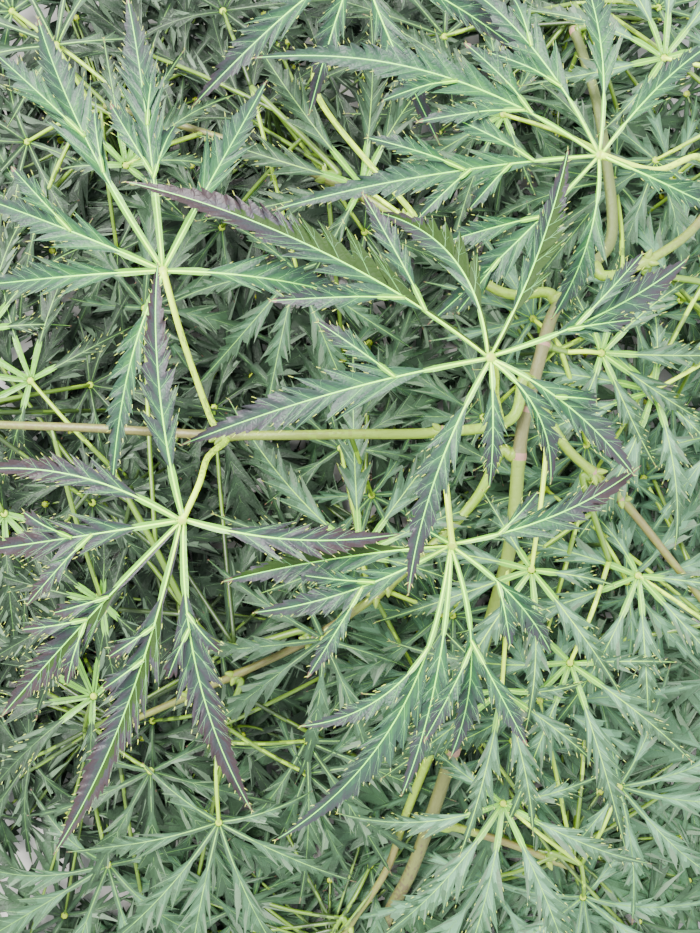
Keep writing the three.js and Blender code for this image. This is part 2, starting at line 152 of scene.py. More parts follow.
class Limb:
    """A smooth curve through its places, with a radius that tapers evenly from foot to tip."""

    def __init__(self, places, radii, foot=None):
        self.places = np.array(places, float)
        self.radii = radii
        self.foot = foot

    def point(self, t):
        """A cubic from each place to the next. Its slope at a place is half the step from the place before
        to the place after, and past each end the last step is taken once more."""
        p = self.places
        p = np.concatenate([[2 * p[0] - p[1]], p, [2 * p[-1] - p[-2]]])
        spans = len(p) - 3
        s = np.clip(np.asarray(t, float), 0, 1) * spans
        i = np.minimum(s.astype(int), spans - 1)
        w = (s - i)[..., None]
        before, a, b, after = p[i], p[i + 1], p[i + 2], p[i + 3]
        m, n = (b - before) / 2, (after - a) / 2
        return a + w * (m + w * (3 * (b - a) - 2 * m - n + w * (2 * (a - b) + m + n)))

    def along(self, t, step=1e-4):
        """The direction of the chord between the points a small step before and after t."""
        t = np.asarray(t, float)
        return unit(self.point(t + step) - self.point(t - step))

    def radius(self, t):
        return between(self.radii, np.asarray(t, float))

    def run(self, steps):
        """Even shares of its course with its points and radii there, its foot inside what carries it
        first."""
        t = np.linspace(0, 1, steps)
        path, radii = self.point(t), self.radius(t)
        if self.foot is None:
            return t, path, radii
        return np.append(0, t), np.vstack([self.foot, path]), np.append(radii[0], radii)


def grown(carrier, t, places, radii):
    """A limb that leaves its carrier squarely at t, towards the first of its places: from the carrier's
    middle line out along the part of the way there that is square to it. Its foot lies inside the
    carrier."""
    centre, along = carrier.point(t), carrier.along(t)
    out = np.array(places[0], float) - centre
    out = unit(out - np.dot(out, along) * along)
    reach = carrier.radius(t) + GAP
    foot, start, collar = [centre + out * away for away in
                           ((1 - SUNK) * carrier.radius(t), reach, reach + COLLAR * radii[0])]
    return Limb([start, collar, *places], radii, foot)


# Closed skins and pieces
class Skins:
    """Closed skins gathered to make one piece. Each is a grid of rings of points, wound so that its faces
    point out, with a fan of three-sided faces to the middle of each end ring."""

    def __init__(self):
        self.points, self.quads, self.fans = [], [], []
        self.quad_tones, self.fan_tones, self.edges = [], [], []
        self.count = 0

    def add(self, rings, tone=0, rims=()):
        """rings[i, j] is point j of ring i. tone is one material number, or one to each face of the grid.
        The columns named in rims are knife edges, which aren't shaded smooth."""
        n, c = rings.shape[:2]
        at = self.count + np.arange(n * c).reshape(n, c)
        after = np.roll(at, -1, axis=1)
        foot, tip = self.count + n * c, self.count + n * c + 1
        tone = np.broadcast_to(tone, (n - 1, c))
        edge = np.zeros((n, c), bool)
        edge[:, list(rims)] = True
        self.points += [rings.reshape(-1, 3), rings[[0, -1]].mean(1)]
        self.quads.append(np.stack([at[:-1], after[:-1], after[1:], at[1:]], -1).reshape(-1, 4))
        self.fans += [np.stack([np.full(c, foot), after[0], at[0]], -1),
                      np.stack([np.full(c, tip), at[-1], after[-1]], -1)]
        self.quad_tones.append(tone.ravel())
        self.fan_tones += [tone[0], tone[-1]]
        self.edges += [edge.ravel(), np.full(2, bool(len(rims)))]
        self.count += n * c + 2

    def piece(self, name, finishes, slot, nodes=()):
        """Puts the skins into one mesh, in metres about the frame's origin, and hands it to the frame."""
        points = (np.concatenate(self.points) - CENTRE) * MM
        quads, fans = np.concatenate(self.quads), np.concatenate(self.fans)
        mesh = bpy.data.meshes.new(name)
        mesh.vertices.add(len(points))
        mesh.vertices.foreach_set("co", points.astype(np.float32).ravel())
        mesh.loops.add(quads.size + fans.size)
        mesh.loops.foreach_set("vertex_index", np.concatenate([quads.ravel(), fans.ravel()]).astype(np.int32))
        mesh.polygons.add(len(quads) + len(fans))
        starts = np.concatenate([4 * np.arange(len(quads)), quads.size + 3 * np.arange(len(fans))])
        mesh.polygons.foreach_set("loop_start", starts.astype(np.int32))
        tones = np.concatenate(self.quad_tones + self.fan_tones)
        mesh.polygons.foreach_set("material_index", tones.astype(np.int32))
        mesh.polygons.foreach_set("use_smooth", np.ones(len(starts), bool))
        mesh.update(calc_edges=True)
        edge = np.concatenate(self.edges)
        if edge.any():
            ends = np.zeros(2 * len(mesh.edges), np.int32)
            mesh.edges.foreach_get("vertices", ends)
            mesh.edges.foreach_set("use_edge_sharp", edge[ends].reshape(-1, 2).all(1))
        for finish in finishes:
            mesh.materials.append(finish)
        thing = bpy.data.objects.new(name, mesh)
        bpy.context.scene.collection.objects.link(thing)
        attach(thing, "root")
        if nodes:
            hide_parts(*nodes)
        return thing


def tube(path, radius, sides, relief=None):
    """Rings of points round a path: at each of its points a circle of that radius, square to the path,
    measured from the axis that the path keeps furthest from. relief multiplies the radius, by ring and
    corner."""
    along = unit(np.gradient(path, axis=0))
    axis = np.eye(3)[np.abs(along).max(0).argmin()]
    across = unit(axis - (along @ axis)[:, None] * along)
    beside = np.cross(along, across)
    a = 2 * np.pi * np.arange(sides) / sides
    r = np.broadcast_to(np.asarray(radius, float), len(path))[:, None] * np.ones(sides)
    if relief is not None:
        r = r * relief
    round_it = np.cos(a)[None, :, None] * across[:, None] + np.sin(a)[None, :, None] * beside[:, None]
    return path[:, None] + r[..., None] * round_it


# Lobes
def midrib(lobe, t):
    """Place on the midrib at the share t of the lobe's length: along its heading, to the left by 4 bend
    t(1-t) lengths, up by 4 arch t(1-t) and down by drop t^2. A fork also rises with the lobe that it
    leaves."""
    t = np.asarray(t, float)
    side = 4 * lobe["bend"] * t * (1 - t)
    p = (lobe["root"] + lobe["length"] * t[..., None] * heading(lobe["toward"])
         + lobe["length"] * side[..., None] * heading(lobe["toward"] + 90))
    lift = 4 * lobe["arch"] * t * (1 - t) - lobe["drop"] * t * t
    lift = lift + lobe["rise"] * np.minimum(lobe["length"] * t, lobe["limit"])
    wave = lobe["wave"] * np.sin(2 * np.pi * (t + lobe["shift"])) * t
    p[..., 2] = np.maximum(FLOOR, p[..., 2] + lift + wave)
    return p


def lobe_axes(lobe, t, step=1e-3):
    """Unit vectors along, beside and above the midrib. Beside is level, then turns about the midrib by the
    lobe's roll, which grows with t by its twist."""
    along = unit(midrib(lobe, t + step) - midrib(lobe, t - step))
    level = unit(np.cross(np.array([0.0, 0.0, 1.0]), along))
    above = np.cross(along, level)
    roll = (lobe["roll"] + lobe["twist"] * t)[..., None]
    return (along, np.cos(roll) * level + np.sin(roll) * above, np.cos(roll) * above - np.sin(roll) * level)


def outline(s):
    """Half width at the share s of the toothed part, 1 at its fullest: s to one power times 1 - s to
    another."""
    rise, fall = FULLNESS
    s = np.clip(s, 0, 1)
    top = (rise / (rise + fall)) ** rise * (fall / (rise + fall)) ** fall
    return s ** rise * (1 - s) ** fall / top


def lobules_of(length, bare, coarse):
    """Where one lobule ends and the next starts, counted in teeth and as shares of the toothed part, and
    the length of each one's base. The first lobules are long and have several teeth, each has a shorter
    base than the one before, and the last are single teeth."""
    step = TOOTH_STEP * coarse
    first = LOBULE_BASE * min(1, length / LOBULE_LENGTH) ** 0.6
    toothed = length * (1 - bare)
    bases = step + (max(0, first - step)) * LOBULE_FALL ** np.arange(80)
    count = max(3, int(np.searchsorted(np.cumsum(bases), toothed)))
    bases = bases[:count]
    teeth = 1 + np.searchsorted(np.array(LOBULE_TEETH) * step, bases)
    ends = np.concatenate([[0], np.cumsum(bases) / bases.sum()])
    return np.concatenate([[0], np.cumsum(teeth)]), ends, toothed * np.diff(ends)


def lobule(lobe, phase):
    """Each phase's lobule, by number, its number of teeth, how far it stands out there (0 at each cut and
    1 at its leading tooth, by a power below 1 of the way between them), and the number of the nearer
    cut."""
    cuts = lobe["cuts"]
    k = np.clip(np.searchsorted(cuts, phase, side="right") - 1, 0, len(cuts) - 2)
    size = cuts[k + 1] - cuts[k]
    lead, x = LEADING[size], np.clip(phase - cuts[k], 0, size)
    return k, size, np.minimum(x / lead, (size - x) / (size - lead)) ** 0.8, k + (x > lead)


def shares(lobe, phase):
    """Shares of the toothed part at that phase, on the midrib's left and on its right."""
    share = np.interp(phase, lobe["cuts"], lobe["ends"])
    return share, share ** STAGGER


def on_blade(lobe, phase, v):
    """Places on a lobe's upper face. phase counts teeth along it, and is below 0 on the stalk. v runs from
    -1 at its right edge through 0 at the midrib to 1 at its left. Each thread of the blade leaves the
    midrib at the lean of its side vein and is as long as the outline there, so the cuts between lobules
    follow the veins. The blade folds up from the midrib, swells between its veins, and each lobule tilts
    by its own amount."""
    phase, v = np.broadcast_arrays(phase, v)
    a, left, stalk = np.abs(v), v >= 0, phase < 0
    s_left, s_right = shares(lobe, phase)
    s_mid = (s_left + s_right) / 2
    s = s_mid + (np.where(left, s_left, s_right) - s_mid) * a
    bare = lobe["bare"]
    t = np.where(stalk, bare * (1 + np.minimum(phase, 0)), bare + (1 - bare) * s)
    along, beside, above = lobe_axes(lobe, t)
    k, _, point, cut = lobule(lobe, phase)
    point = np.where(stalk, 0, point)
    own = k + np.where(left, 0, 50) + 100 * lobe["seed"]
    dealt = wobble(cut + np.where(left, 170, 230) + 100 * lobe["seed"])
    uncut = np.minimum(UNCUT[0] + UNCUT[1] * cut * (1 + UNCUT_VARIES * dealt), UNCUT[2])
    saw = (phase - np.floor(phase + 1e-6)) / TOOTH_POINT - 0.5
    strip = STRIP * lobe["slim"] * lobe["width"] ** 0.5
    fullest = max(0, lobe["width"] / 2 - strip)
    reach = np.where(stalk, 0, np.minimum(outline(s) * fullest, LOBULE_REACH * lobe["bases"][k]))
    body = between((STALK_HALF[1] * lobe["stalk"], strip), ease(0, 0.55, s)) * (1 - s ** 5)
    body = np.where(stalk, between(STALK_HALF, t / bare) * lobe["stalk"], body)
    half = body + reach * (uncut + (1 - uncut) * point * (1 + REACH_VARIES * wobble(own)))
    half = half + np.where(stalk, 0, saw * (1 - s ** 4)) * TOOTH
    half = np.maximum(half, LEAST_HALF)
    lean = np.radians(between(LEAN, ease(0, 0.7, s)) + LEAN_VARIES * wobble(own + 31))
    ahead = np.where(stalk, 0, half / np.sin(lean) * (np.cos(lean) * a + SWEEP * a * a) * (1 - 0.4 * s))
    out = half * a
    swell = lobe["swell"] * np.minimum(1, reach / 3) * 4 * a * (1 - a) * (0.5 - point)
    tilt = TILT * wobble(own + 57) * point * out * a
    lift = lobe["fold"] * out + swell + tilt - lobe["curl"] * out * out / CURL_WIDTH
    side = np.where(left, 1, -1)
    place = (midrib(lobe, t) + ahead[..., None] * along + (side * out)[..., None] * beside
             + lift[..., None] * above)
    place[..., 2] = np.maximum(place[..., 2], BLADE + 0.1)
    return place, above


def phases(lobe):
    """Phases of the threads: along the stalk, then two or three to a tooth, at its foot, its back and its
    point."""
    places = np.array([0, 0.45, TOOTH_POINT] if lobe["fine"] else [0, TOOTH_POINT])
    toothed = (np.arange(lobe["teeth"])[:, None] + places).ravel()
    stalk = [-1, -0.8, -0.55, -0.3, -0.12] if lobe["fine"] else [-1, -0.5, -0.15]
    return np.concatenate([stalk, toothed, [lobe["teeth"] - 0.02]])


def blade(lobe, columns, under_columns):
    """The closed blade as rings: the upper face from its left edge to its right, and the underside back
    again, a blade's thickness lower at the midrib and nothing at the edges."""
    phase = phases(lobe)[:, None]
    top, _ = on_blade(lobe, phase, columns[None])
    under, above = on_blade(lobe, phase, under_columns[None])
    depth = BLADE * lobe["thick"] * (1 - np.abs(under_columns)) ** 0.5
    return np.concatenate([top, under - depth[None, :, None] * above], 1)


def blade_tones(lobe, columns, under_columns):
    """One tone to each face. On the upper face it runs from 0, fresh green beside the veins, up towards
    the edges and the point, with a scatter of its own. The finishes after the tones are, in order, those
    of the underside, the point, the side that light comes through and the bare stalk."""
    phase = phases(lobe)
    p = (phase[:-1] + phase[1:])[:, None] / 2
    v = (columns[:-1] + columns[1:])[None] / 2
    s = np.clip(p / lobe["teeth"], 0, 1)
    i, j = np.indices((len(p), v.shape[1]))
    scatter = wobble(i * 7 + j * 131 + lobe["seed"] * 17)
    streak = wobble(i * 3 + lobe["seed"] * 29)
    _, size, point, _ = lobule(lobe, p)
    point = np.where(size > 1, point, 1)
    rim = 1 - (1 - np.abs(v)) * (0.45 + 0.55 * point)
    g = (lobe["tint"] + lobe["edging"] * ease(0.2, 0.9, rim) + lobe["ageing"] * ease(0.25, 1.0, s)
         + SCATTER * scatter + STREAK * streak)
    top = np.clip(np.round(g * (TONES - 1)), 0, TONES - 1)
    underside, blushing, lit, stalk = TONES + np.arange(4)
    top = np.where((lobe["lit"] * v > 0) & (g < 0.75), lit, top)
    top = np.where((p < 0.1) & (lobe["lit"] * v <= 0) & lobe["fresh"], stalk, top)
    top = np.where((s > lobe["blush"]) & (p > 0), blushing, top)
    under = np.full((len(p), len(under_columns) + 1), underside)
    return np.concatenate([top, under], 1)


def lobe_of(root, toward, length, seed, **looks):
    """A lobe with what it is told, and with its fold, roll, waves and curl dealt out by its seed."""
    dealt = {name: middle + spread * wobble(seed * times + more)
             for name, (middle, spread, times, more) in DEALT.items()}
    made = {**LOBE, **dealt, **looks}
    made.update(root=np.array(root, float), toward=toward, length=length, seed=seed)
    made["cuts"], made["ends"], made["bases"] = lobules_of(length, made["bare"], made["coarse"])
    made["teeth"] = made["cuts"][-1]
    return made


def told(toward, length, width, drop, **more):
    """A large leaf's lobe, told by its heading, its length and width, how far its point drops, and what
    else differs from LOBE."""
    return dict(toward=toward, length=length, width=width, drop=drop, **more)


def fork(at, toward, length, width=FORK_WIDTH, **more):
    """A smaller lobe that leaves a told one at a share of its length, told by its heading, length and
    width."""
    return dict(FORK, at=at, toward=toward, length=length, width=width, **more)


def lobes_told(hub, rows, leaf_seed, **looks):
    """The lobes of a large leaf, each with its forks. A fork rises with its lobe's fold until that lobe's
    edge."""
    found = []
    for n, row in enumerate(rows):
        own = dict(row)
        forks = own.pop("forks", ())
        toward, length = own.pop("toward"), own.pop("length")
        seed = leaf_seed * 20 + n
        lobe = lobe_of(hub + ROOT * heading(toward), toward, length, seed, **{**looks, **own})
        found.append(lobe)
        for m, small in enumerate(forks):
            small = dict(small)
            at, turn, reach = small.pop("at"), small.pop("toward"), small.pop("length")
            across = abs(np.sin(np.radians(turn - toward)))
            root = midrib(lobe, np.array(at)) + np.array([0, 0, FORK_LIFT])
            edge = lobe["width"] * 0.3 / max(0.2, across)
            found.append(lobe_of(root, turn, reach, seed + 400 + m, **{
                **looks, **small, "rise": lobe["fold"] * across, "limit": edge, **FORK_LOOKS}))
    return found


def lobes_by_rule(leaf, seed, broad=1.0, **looks):
    """The lobes of a leaf that grows by rule, in the order and with the dealt lengths and turns of its
    solid."""
    x, y, z, middle, reach = leaf
    found = []
    for k, (turn, share) in enumerate(zip(FAN, SHARE)):
        length = reach * share * (1 + FAN_VARIES["length"] * wobble(seed * 7 + k))
        toward = middle + turn + FAN_VARIES["turn"] * wobble(seed * 11 + k)
        hub = np.array([x, y, z], float)
        ahead = heading(toward)[:2]
        room = (REACH_LIMIT - np.sign(ahead) * (hub - CENTRE)[:2]) / np.maximum(np.abs(ahead), 0.01)
        length = min(length, room.min())
        found.append(lobe_of(
            hub + ROOT * heading(toward), toward, length, seed * 10 + k,
            width=max(LEAST_WIDTH, FAN_WIDTH * length) * FINENESS * broad,
            bend=FAN_VARIES["bend"] * wobble(seed * 13 + k), arch=FAN_ARCH * length,
            drop=FAN_DROP * length * (1 + FAN_VARIES["drop"] * wobble(seed * 17 + k)), **looks))
    return found


# The branch's places, as its solids have them
MAIN_STEM = Limb([
    [4, -178, 2.31], [4, -160, 2.31], [10, -135, 10], [18, -113, 20], [26, -83, 31], [34, -48, 42],
    [40, -20, 50], [42, 8, 55], [46, 26, 57], [50, 38, 55], [58, 48, 52], [66, 58, 48],
    [66, 80, 43], [64, 100, 38], [60, 122, 30],
], STEM_RADII)

SHOOTS = {
    "left_shoot": (0.545, [[38, 11, 60], [20, 8, 64], [0, 7.5, 66], [-30, 7.3, 66],
                           [-60, 9, 64], [-84, 10, 60], [-98, 11, 55]]),
    "lower_left_shoot": (0.485, [[31, -9, 49], [16, -25, 45], [6, -34, 42], [-13, -47, 37],
                                 [-43, -62, 30], [-68, -74, 24]]),
    "lower_right_shoot": (0.52, [[54, 4, 53], [68, -8, 49], [84, -26, 44], [98, -42, 38]]),
    "right_shoot": (0.73, [[70, 49, 52], [84, 58, 53], [95, 74, 51], [101, 92, 46]]),
    "upper_left_shoot": (0.66, [[36, 44, 52], [14, 62, 48], [-14, 78, 42], [-44, 90, 37], [-66, 97, 33]]),
    "bottom_left_shoot": (0.3, [[16, -96, 24], [10, -116, 18], [-2, -136, 13]]),
    "bottom_right_shoot": (0.25, [[30, -100, 26], [44, -104, 27], [62, -112, 24]]),
}

# Each large leaf has the shoot and the place on it where its stalk starts, the places that the stalk runs
# through, its hub, its looks, and every lobe told
LARGE_LEAVES = {
    "leaf_upper_left": dict(
        hub=[-41, 43, 78], carrier="left_shoot", at=0.628, stalk=[[-32, 11.5, 70], [-37, 28, 76]],
        looks=dict(tint=0.12, edging=0.26, ageing=0.24),
        lobes=[
            told(117, 66, 14, 9, bend=0.03, bare=0.3, forks=[fork(0.5, 137, 27, 8), fork(0.36, 99, 14, 5)]),
            told(98, 62, 14, 3, bend=-0.02, bare=0.27, tint=0.2,
                 forks=[fork(0.31, 121, 19), fork(0.3, 70, 13, 5), fork(0.49, 85, 14, 5)]),
            told(64, 49, 11, 8, bend=-0.02, bare=0.26),
            told(-7, 45, 11, 7, bend=0.02),
            told(157, 46, 11, 8, forks=[fork(0.45, 133, 20)]),
            told(181, 44, 10, 12, bend=0.02),
            told(255, 49, 8, 7, bend=-0.03),
        ]),
    "leaf_lower_left": dict(
        hub=[-36, -11.5, 82], carrier="left_shoot", at=0.62, stalk=[[-32, 2, 73], [-33, -4, 79]],
        looks=dict(tint=0.37, edging=0.42, ageing=0.4),
        lobes=[
            told(95, 54, 9, -2, bend=0.03, arch=4, tint=0.24),
            told(167, 46, 9, 4, bend=-0.09),
            told(189, 46, 12, 8, forks=[fork(0.4, 227, 21), fork(0.5, 153, 12, 5)]),
            told(226, 64, 12, 16, bare=0.28, lit=1,
                 forks=[fork(0.34, 197, 13, 5), fork(0.45, 190, 15, 5), fork(0.46, 252, 15, 5)]),
            told(247, 86, 13, 20, bend=0.05, lit=1, forks=[fork(0.26, 214, 12, 5), fork(0.35, 216, 11, 5)]),
            told(281, 69, 11, 16, bend=-0.05, bare=0.2,
                 forks=[fork(0.27, 309, 11, 5), fork(0.32, 246, 12, 5)]),
            told(-4, 46, 10, 3, bend=-0.05, arch=3),
        ]),
    "leaf_centre": dict(
        hub=[29, 22.5, 90], carrier="left_shoot", at=0.275, stalk=[[33, 16, 72], [31, 20, 84]],
        looks=dict(tint=0.2, edging=0.28, ageing=0.42, stalk=0.75),
        lobes=[
            told(122, 43, 11, 26, bend=-0.12, lit=-1),
            told(69, 47, 9, 6, bend=-0.03, lit=-1),
            told(27, 48, 12, 8, bend=-0.05, bare=0.26, forks=[fork(0.36, 47, 21, 5), fork(0.32, 9, 14, 5)]),
            told(-37, 40, 11, 10, bend=0.04, forks=[fork(0.36, -4, 9, 5)]),
            told(-61, 29, 7, 10, bend=0.1),
            told(-88, 26, 6, 8),
            told(252, 52, 9, 9, bend=-0.06),
            told(195, 68, 13, 14, bend=-0.02, forks=[fork(0.28, 144, 20)]),
            told(154, 84, 15, 4, bend=-0.05, ageing=0.8, lit=-1,
                 forks=[fork(0.18, 118, 28), fork(0.24, 181, 28)]),
        ]),
    "leaf_lower_centre": dict(
        hub=[22.6, -17.4, 76], carrier="left_shoot", at=0.365, stalk=[[21.5, 1, 69], [22, -8, 73]],
        looks=dict(tint=0.18, edging=0.28, ageing=0.36, stalk=0.75),
        lobes=[
            told(22, 46, 10, 5, bend=-0.05, ageing=0.8, forks=[fork(0.2, 46, 13, 4)]),
            told(-47, 34, 9, 9, bend=0.06, bare=0.3, forks=[fork(0.34, -78, 15, 5)]),
            told(-89, 50, 9, 12, bend=0.08, bare=0.34, forks=[fork(0.4, -62, 27, 7), fork(0.43, 244, 24)]),
            told(260, 60, 8, 12, bend=0.03, bare=0.3),
            told(241, 84, 11, 22, bend=0.1, bare=0.26, forks=[fork(0.25, 214, 35, bend=0.1, drop=8)]),
            told(200, 47, 10, 9, bend=0.04, forks=[fork(0.38, 175, 17, 5), fork(0.44, 239, 24)]),
            told(190, 52, 12, 8, bend=-0.03, lit=-1),
            told(149, 10, 6, 0),
        ]),
    "leaf_upper_right": dict(
        hub=[55.4, 69, 76], carrier="right_shoot", at=0.72, stalk=[[81, 72, 66], [69, 67, 72]],
        looks=dict(tint=0.12, edging=0.22, ageing=0.26, stalk=0.62),
        lobes=[
            told(125, 50, 11, 8, bend=-0.03, bare=0.25, forks=[fork(0.32, 152, 18), fork(0.55, 107, 12, 5)]),
            told(94, 45, 10, 6, bend=-0.04, bare=0.25),
            told(45, 38, 8, 6, bend=0.04),
            told(-19, 32, 7, 7, bend=-0.05),
            told(256, 35, 9, 9, bend=0.06, bare=0.26),
            told(224, 51, 10, 9, bend=0.02, bare=0.25, forks=[fork(0.35, 194, 25, 7), fork(0.6, 232, 15, 5)]),
            told(188, 73, 10, 7, bend=-0.01,
                 forks=[fork(0.19, 151, 24, 7), fork(0.26, 227, 13, 5),
                        fork(0.38, 222, 16, 5), fork(0.4, 160, 23)]),
            told(162, 81, 11, 8, bend=-0.07,
                 forks=[fork(0.2, 132, 22), fork(0.22, 185, 24), fork(0.42, 193, 17, 5)]),
        ]),
    "leaf_top": dict(
        hub=[2, 118, 66], carrier="upper_left_shoot", at=0.5, stalk=[[-8, 92, 52], [-4, 106, 60]],
        looks=dict(tint=0.2, edging=0.3, ageing=0.4),
        lobes=[
            told(218, 50, 10, 8),
            told(250, 34, 8, 9),
            told(296, 44, 9, 8, bend=-0.04),
            told(335, 46, 10, 10),
            told(182, 46, 10, 10),
            told(30, 34, 9, 9),
            told(130, 34, 9, 9),
        ]),
}

# Each spray has its carrier, the place on it, the places of its twig, and its leaves, each told by its hub's
# place, the heading of its middle lobe and its reach
SPRAYS = {
    "spray_left_tip": ("left_shoot", 0.96, [[-100, 16, 50]],
                       [[-92, 35, 46, 112, 40], [-88, -12, 46, 236, 40]]),
    "spray_left": ("lower_left_shoot", 0.7, [[-36, -46, 38], [-52, -18, 42], [-62, 0, 42]],
                   [[-82, 22, 44, 140, 54], [-86, -28, 34, 200, 46]]),
    "spray_lower_left": ("lower_left_shoot", 0.97, [[-74, -74, 24]],
                         [[-67, -60, 40, 150, 52], [-68, -112, 22, 252, 56], [-92, -84, 16, 200, 40]]),
    "spray_lower_middle": ("lower_left_shoot", 0.8, [[-36, -74, 33]],
                           [[-35, -95, 35, 262, 50], [-12, -76, 26, 300, 48]]),
    "spray_centre": ("lower_left_shoot", 0.56, [[4, -28, 46]], [[2.5, -22, 49, 92, 50]]),
    "spray_bottom": ("bottom_left_shoot", 0.96, [[-7, -140, 12]],
                     [[-14, -146, 10, 262, 32], [-28, -126, 12, 196, 44]]),
    "spray_bottom_right": ("bottom_right_shoot", 0.9, [[64, -110, 26]],
                           [[74, -88, 28, 350, 46], [66, -122, 20, 290, 44], [40, -88, 40, 262, 54]]),
    "spray_right_middle": ("lower_right_shoot", 0.5, [[66, -24, 46]], [[56, -50, 46, 250, 52]]),
    "spray_right_low": ("lower_right_shoot", 0.95, [[101, -46, 37]],
                        [[74, -28, 44, 240, 48], [96, -14, 34, 20, 36]]),
    "spray_right": ("right_shoot", 0.45, [[92, 44, 50], [92, 28, 48]],
                    [[76, 19, 50, 205, 46], [96, 38, 36, 350, 34]]),
    "spray_fork": ("main_stem", 0.59, [[53, 28, 55]], [[62, 28, 53, 5, 36]]),
    "spray_right_top": ("right_shoot", 0.9, [[106, 95, 48]],
                        [[80, 104, 46, 120, 46], [100, 68, 34, 0, 32]]),
    "spray_top": ("main_stem", 0.985, [[61, 126, 30]], [[26, 118, 28, 160, 46], [86, 128, 24, 50, 40]]),
    "spray_upper_left": ("upper_left_shoot", 0.62, [[-26, 100, 38]],
                         [[-34, 122, 34, 80, 46], [-14, 52, 36, 260, 44]]),
    "spray_far_left": ("upper_left_shoot", 0.96, [[-70, 98, 32]],
                       [[-78, 112, 36, 120, 50], [-86, 70, 26, 190, 42]]),
    "spray_under_left": ("lower_left_shoot", 0.86, [[-48, -52, 20], [-50, -34, 12]],
                         [[-54, -14, 10, 100, 50]]),
    "spray_under_middle": ("lower_left_shoot", 0.52, [[2, -30, 22], [6, -10, 12]], [[8, 8, 10, 80, 52]]),
    "spray_under_right": ("lower_right_shoot", 0.6, [[74, 2, 30], [68, 14, 15]], [[60, 30, 11, 110, 48]]),
}

# Single leaves, each told by its carrier, the place on it and the leaf
LONE_LEAVES = [
    ("upper_left_shoot", 0.42, [3, 71, 47, 124, 52]),
    ("upper_left_shoot", 0.8, [-58, 78, 42, 70, 34]),
    ("left_shoot", 0.8, [-62, -34, 50, 205, 36]),
    ("main_stem", 0.86, [40, 92, 40, 175, 44]),
    ("lower_right_shoot", 0.25, [44, -25, 57, 238, 44]),
    ("main_stem", 0.42, [38, -56, 50, 252, 42]),
    ("left_shoot", 0.5, [6, -8, 26, 300, 38]),
    ("upper_left_shoot", 0.9, [-92, 124, 30, 150, 34]),
    ("upper_left_shoot", 0.5, [-28, 96, 26, 110, 40]),
    ("right_shoot", 0.35, [72, 78, 30, 200, 42]),
]

# Each leaf of a spray has this many younger ones behind it, lower on the same twig
YOUNGER_TURN = (118, -96, 12, 170)  # degrees from its middle lobe to theirs
YOUNGER_VARIES = 24  # degrees
YOUNGER_SPREAD = 1.2  # how much further round that leaf their hubs lie than they turn
YOUNGER_AWAY = (0.5, 0.62, 0.55, 0.8)  # from its hub to theirs, as a share of its reach
YOUNGER_DROP = (9.0, 16.0, 22.0, 28.0)
YOUNGER_REACH = (0.86, 0.85, 0.95, 1.0)
YOUNGER_BROAD = (0.95, 1.0, 1.1, 1.2)
YOUNGER_STEP = 0.14  # from each one's foot to the next, as a share of the twig
WITHIN = (104.0, 138.0)  # how far from the branch's middle their hubs lie, across and along it
LOWEST_HUB = 6.0  # least height of the first one's hub, and each next one's is higher by the step
HUB_STEP = 1.5
NEAR = 40.0  # height from which a spray's first leaves are drawn more finely, with tooth points
# The lowest leaves: one to each cell of a grid, on a stalk from the nearest twig
CELLS = (11, 14)  # across and along the branch
CELL = (21.6, 22.4)
CELL_VARIES = 0.4  # how far a leaf is from its cell's middle, as a share of the cell
UNDER_HEIGHT = (5.0, 15.0)
UNDER_REACH = (35.0, 45.0)
UNDER_BROAD = 2.0
UNDER_MORE = [
    [-84, 112, 12, 330, 36], [-52, 129, 13, 20, 36], [-45, 107, 12, 60, 36], [-87, 63, 12, 100, 36],
    [13, -12, 13, 35, 34], [7, -15, 10, 300, 36], [-95, -103, 12, 60, 34], [-89, -11, 12, 200, 34],
    [73, -95, 12, 120, 34], [88, -98, 11, 30, 34], [97, -108, 12, 200, 32], [95, -86, 12, 80, 32],
    [99, -121, 12, 270, 30], [-96, 127, 11, 250, 34], [-80, 131, 12, 20, 32], [-18, 124, 12, 140, 34],
    [-88, 46, 11, 10, 32], [82, -110, 10, 340, 34], [66, -88, 10, 340, 34], [79, -50, 11, 345, 34],
    [96, -126, 10, 225, 32],
]


# Finishes
# Colours are told by screen values of 0 to 255, and key colours run from the freshest to the darkest
LEAF_KEYS = [(50, 104, 38), (37, 79, 43), (31, 59, 41), (33, 44, 39), (38, 36, 41), (38, 27, 29)]
# DEEP_KEYS, DEEP_RIB_KEYS and DEEP_VEIN_KEYS darken partly as painted shade: low and shaded leaves take their
# darker tones
DEEP_KEYS = [(104, 144, 108), (78, 117, 87), (53, 84, 58), (41, 65, 41), (32, 51, 31), (23, 37, 22)]
UNDERSIDE = (62, 84, 58)
BLUSH = (88, 58, 44)  # the point of a lobe
LIT = (31, 50, 13)  # the side of a folded lobe that light comes through
FRESH = (84, 140, 24)  # the stalk parts of lobes
RIB_KEYS = [(196, 250, 20), (148, 240, 46), (112, 212, 88)]
DEEP_RIB_KEYS = [(162, 218, 34), (108, 162, 58), (50, 84, 32)]
VEIN_KEYS = [(112, 180, 60), (88, 152, 68), (76, 128, 76)]
DEEP_VEIN_KEYS = [(126, 170, 84), (84, 120, 72), (46, 72, 40)]
STALK_COLOURS = [(40, 60, 16), (82, 112, 22), (136, 172, 24), (184, 218, 24)]
HUB_GREEN = (140, 178, 22)
HUB_TOP = (150, 168, 18)
TOOTH_TIP = (178, 192, 72)
BARK_COLOURS = [(70, 64, 36), (80, 84, 36), (102, 124, 34), (90, 89, 46), (82, 94, 40)]
GREEN_BARK_KEYS = [(116, 150, 22), (106, 128, 28), (96, 104, 34), (92, 88, 40)]
SCAR = (136, 104, 84)  # the ring at each node
SCAR_TONE = 5  # its number among the barks' tones
PALE_FLOOR = (166, 164, 158)
LEAF_CELLS = 900.0  # cells of the finest net to a metre
LEAF_RELIEF = 0.00012  # metres
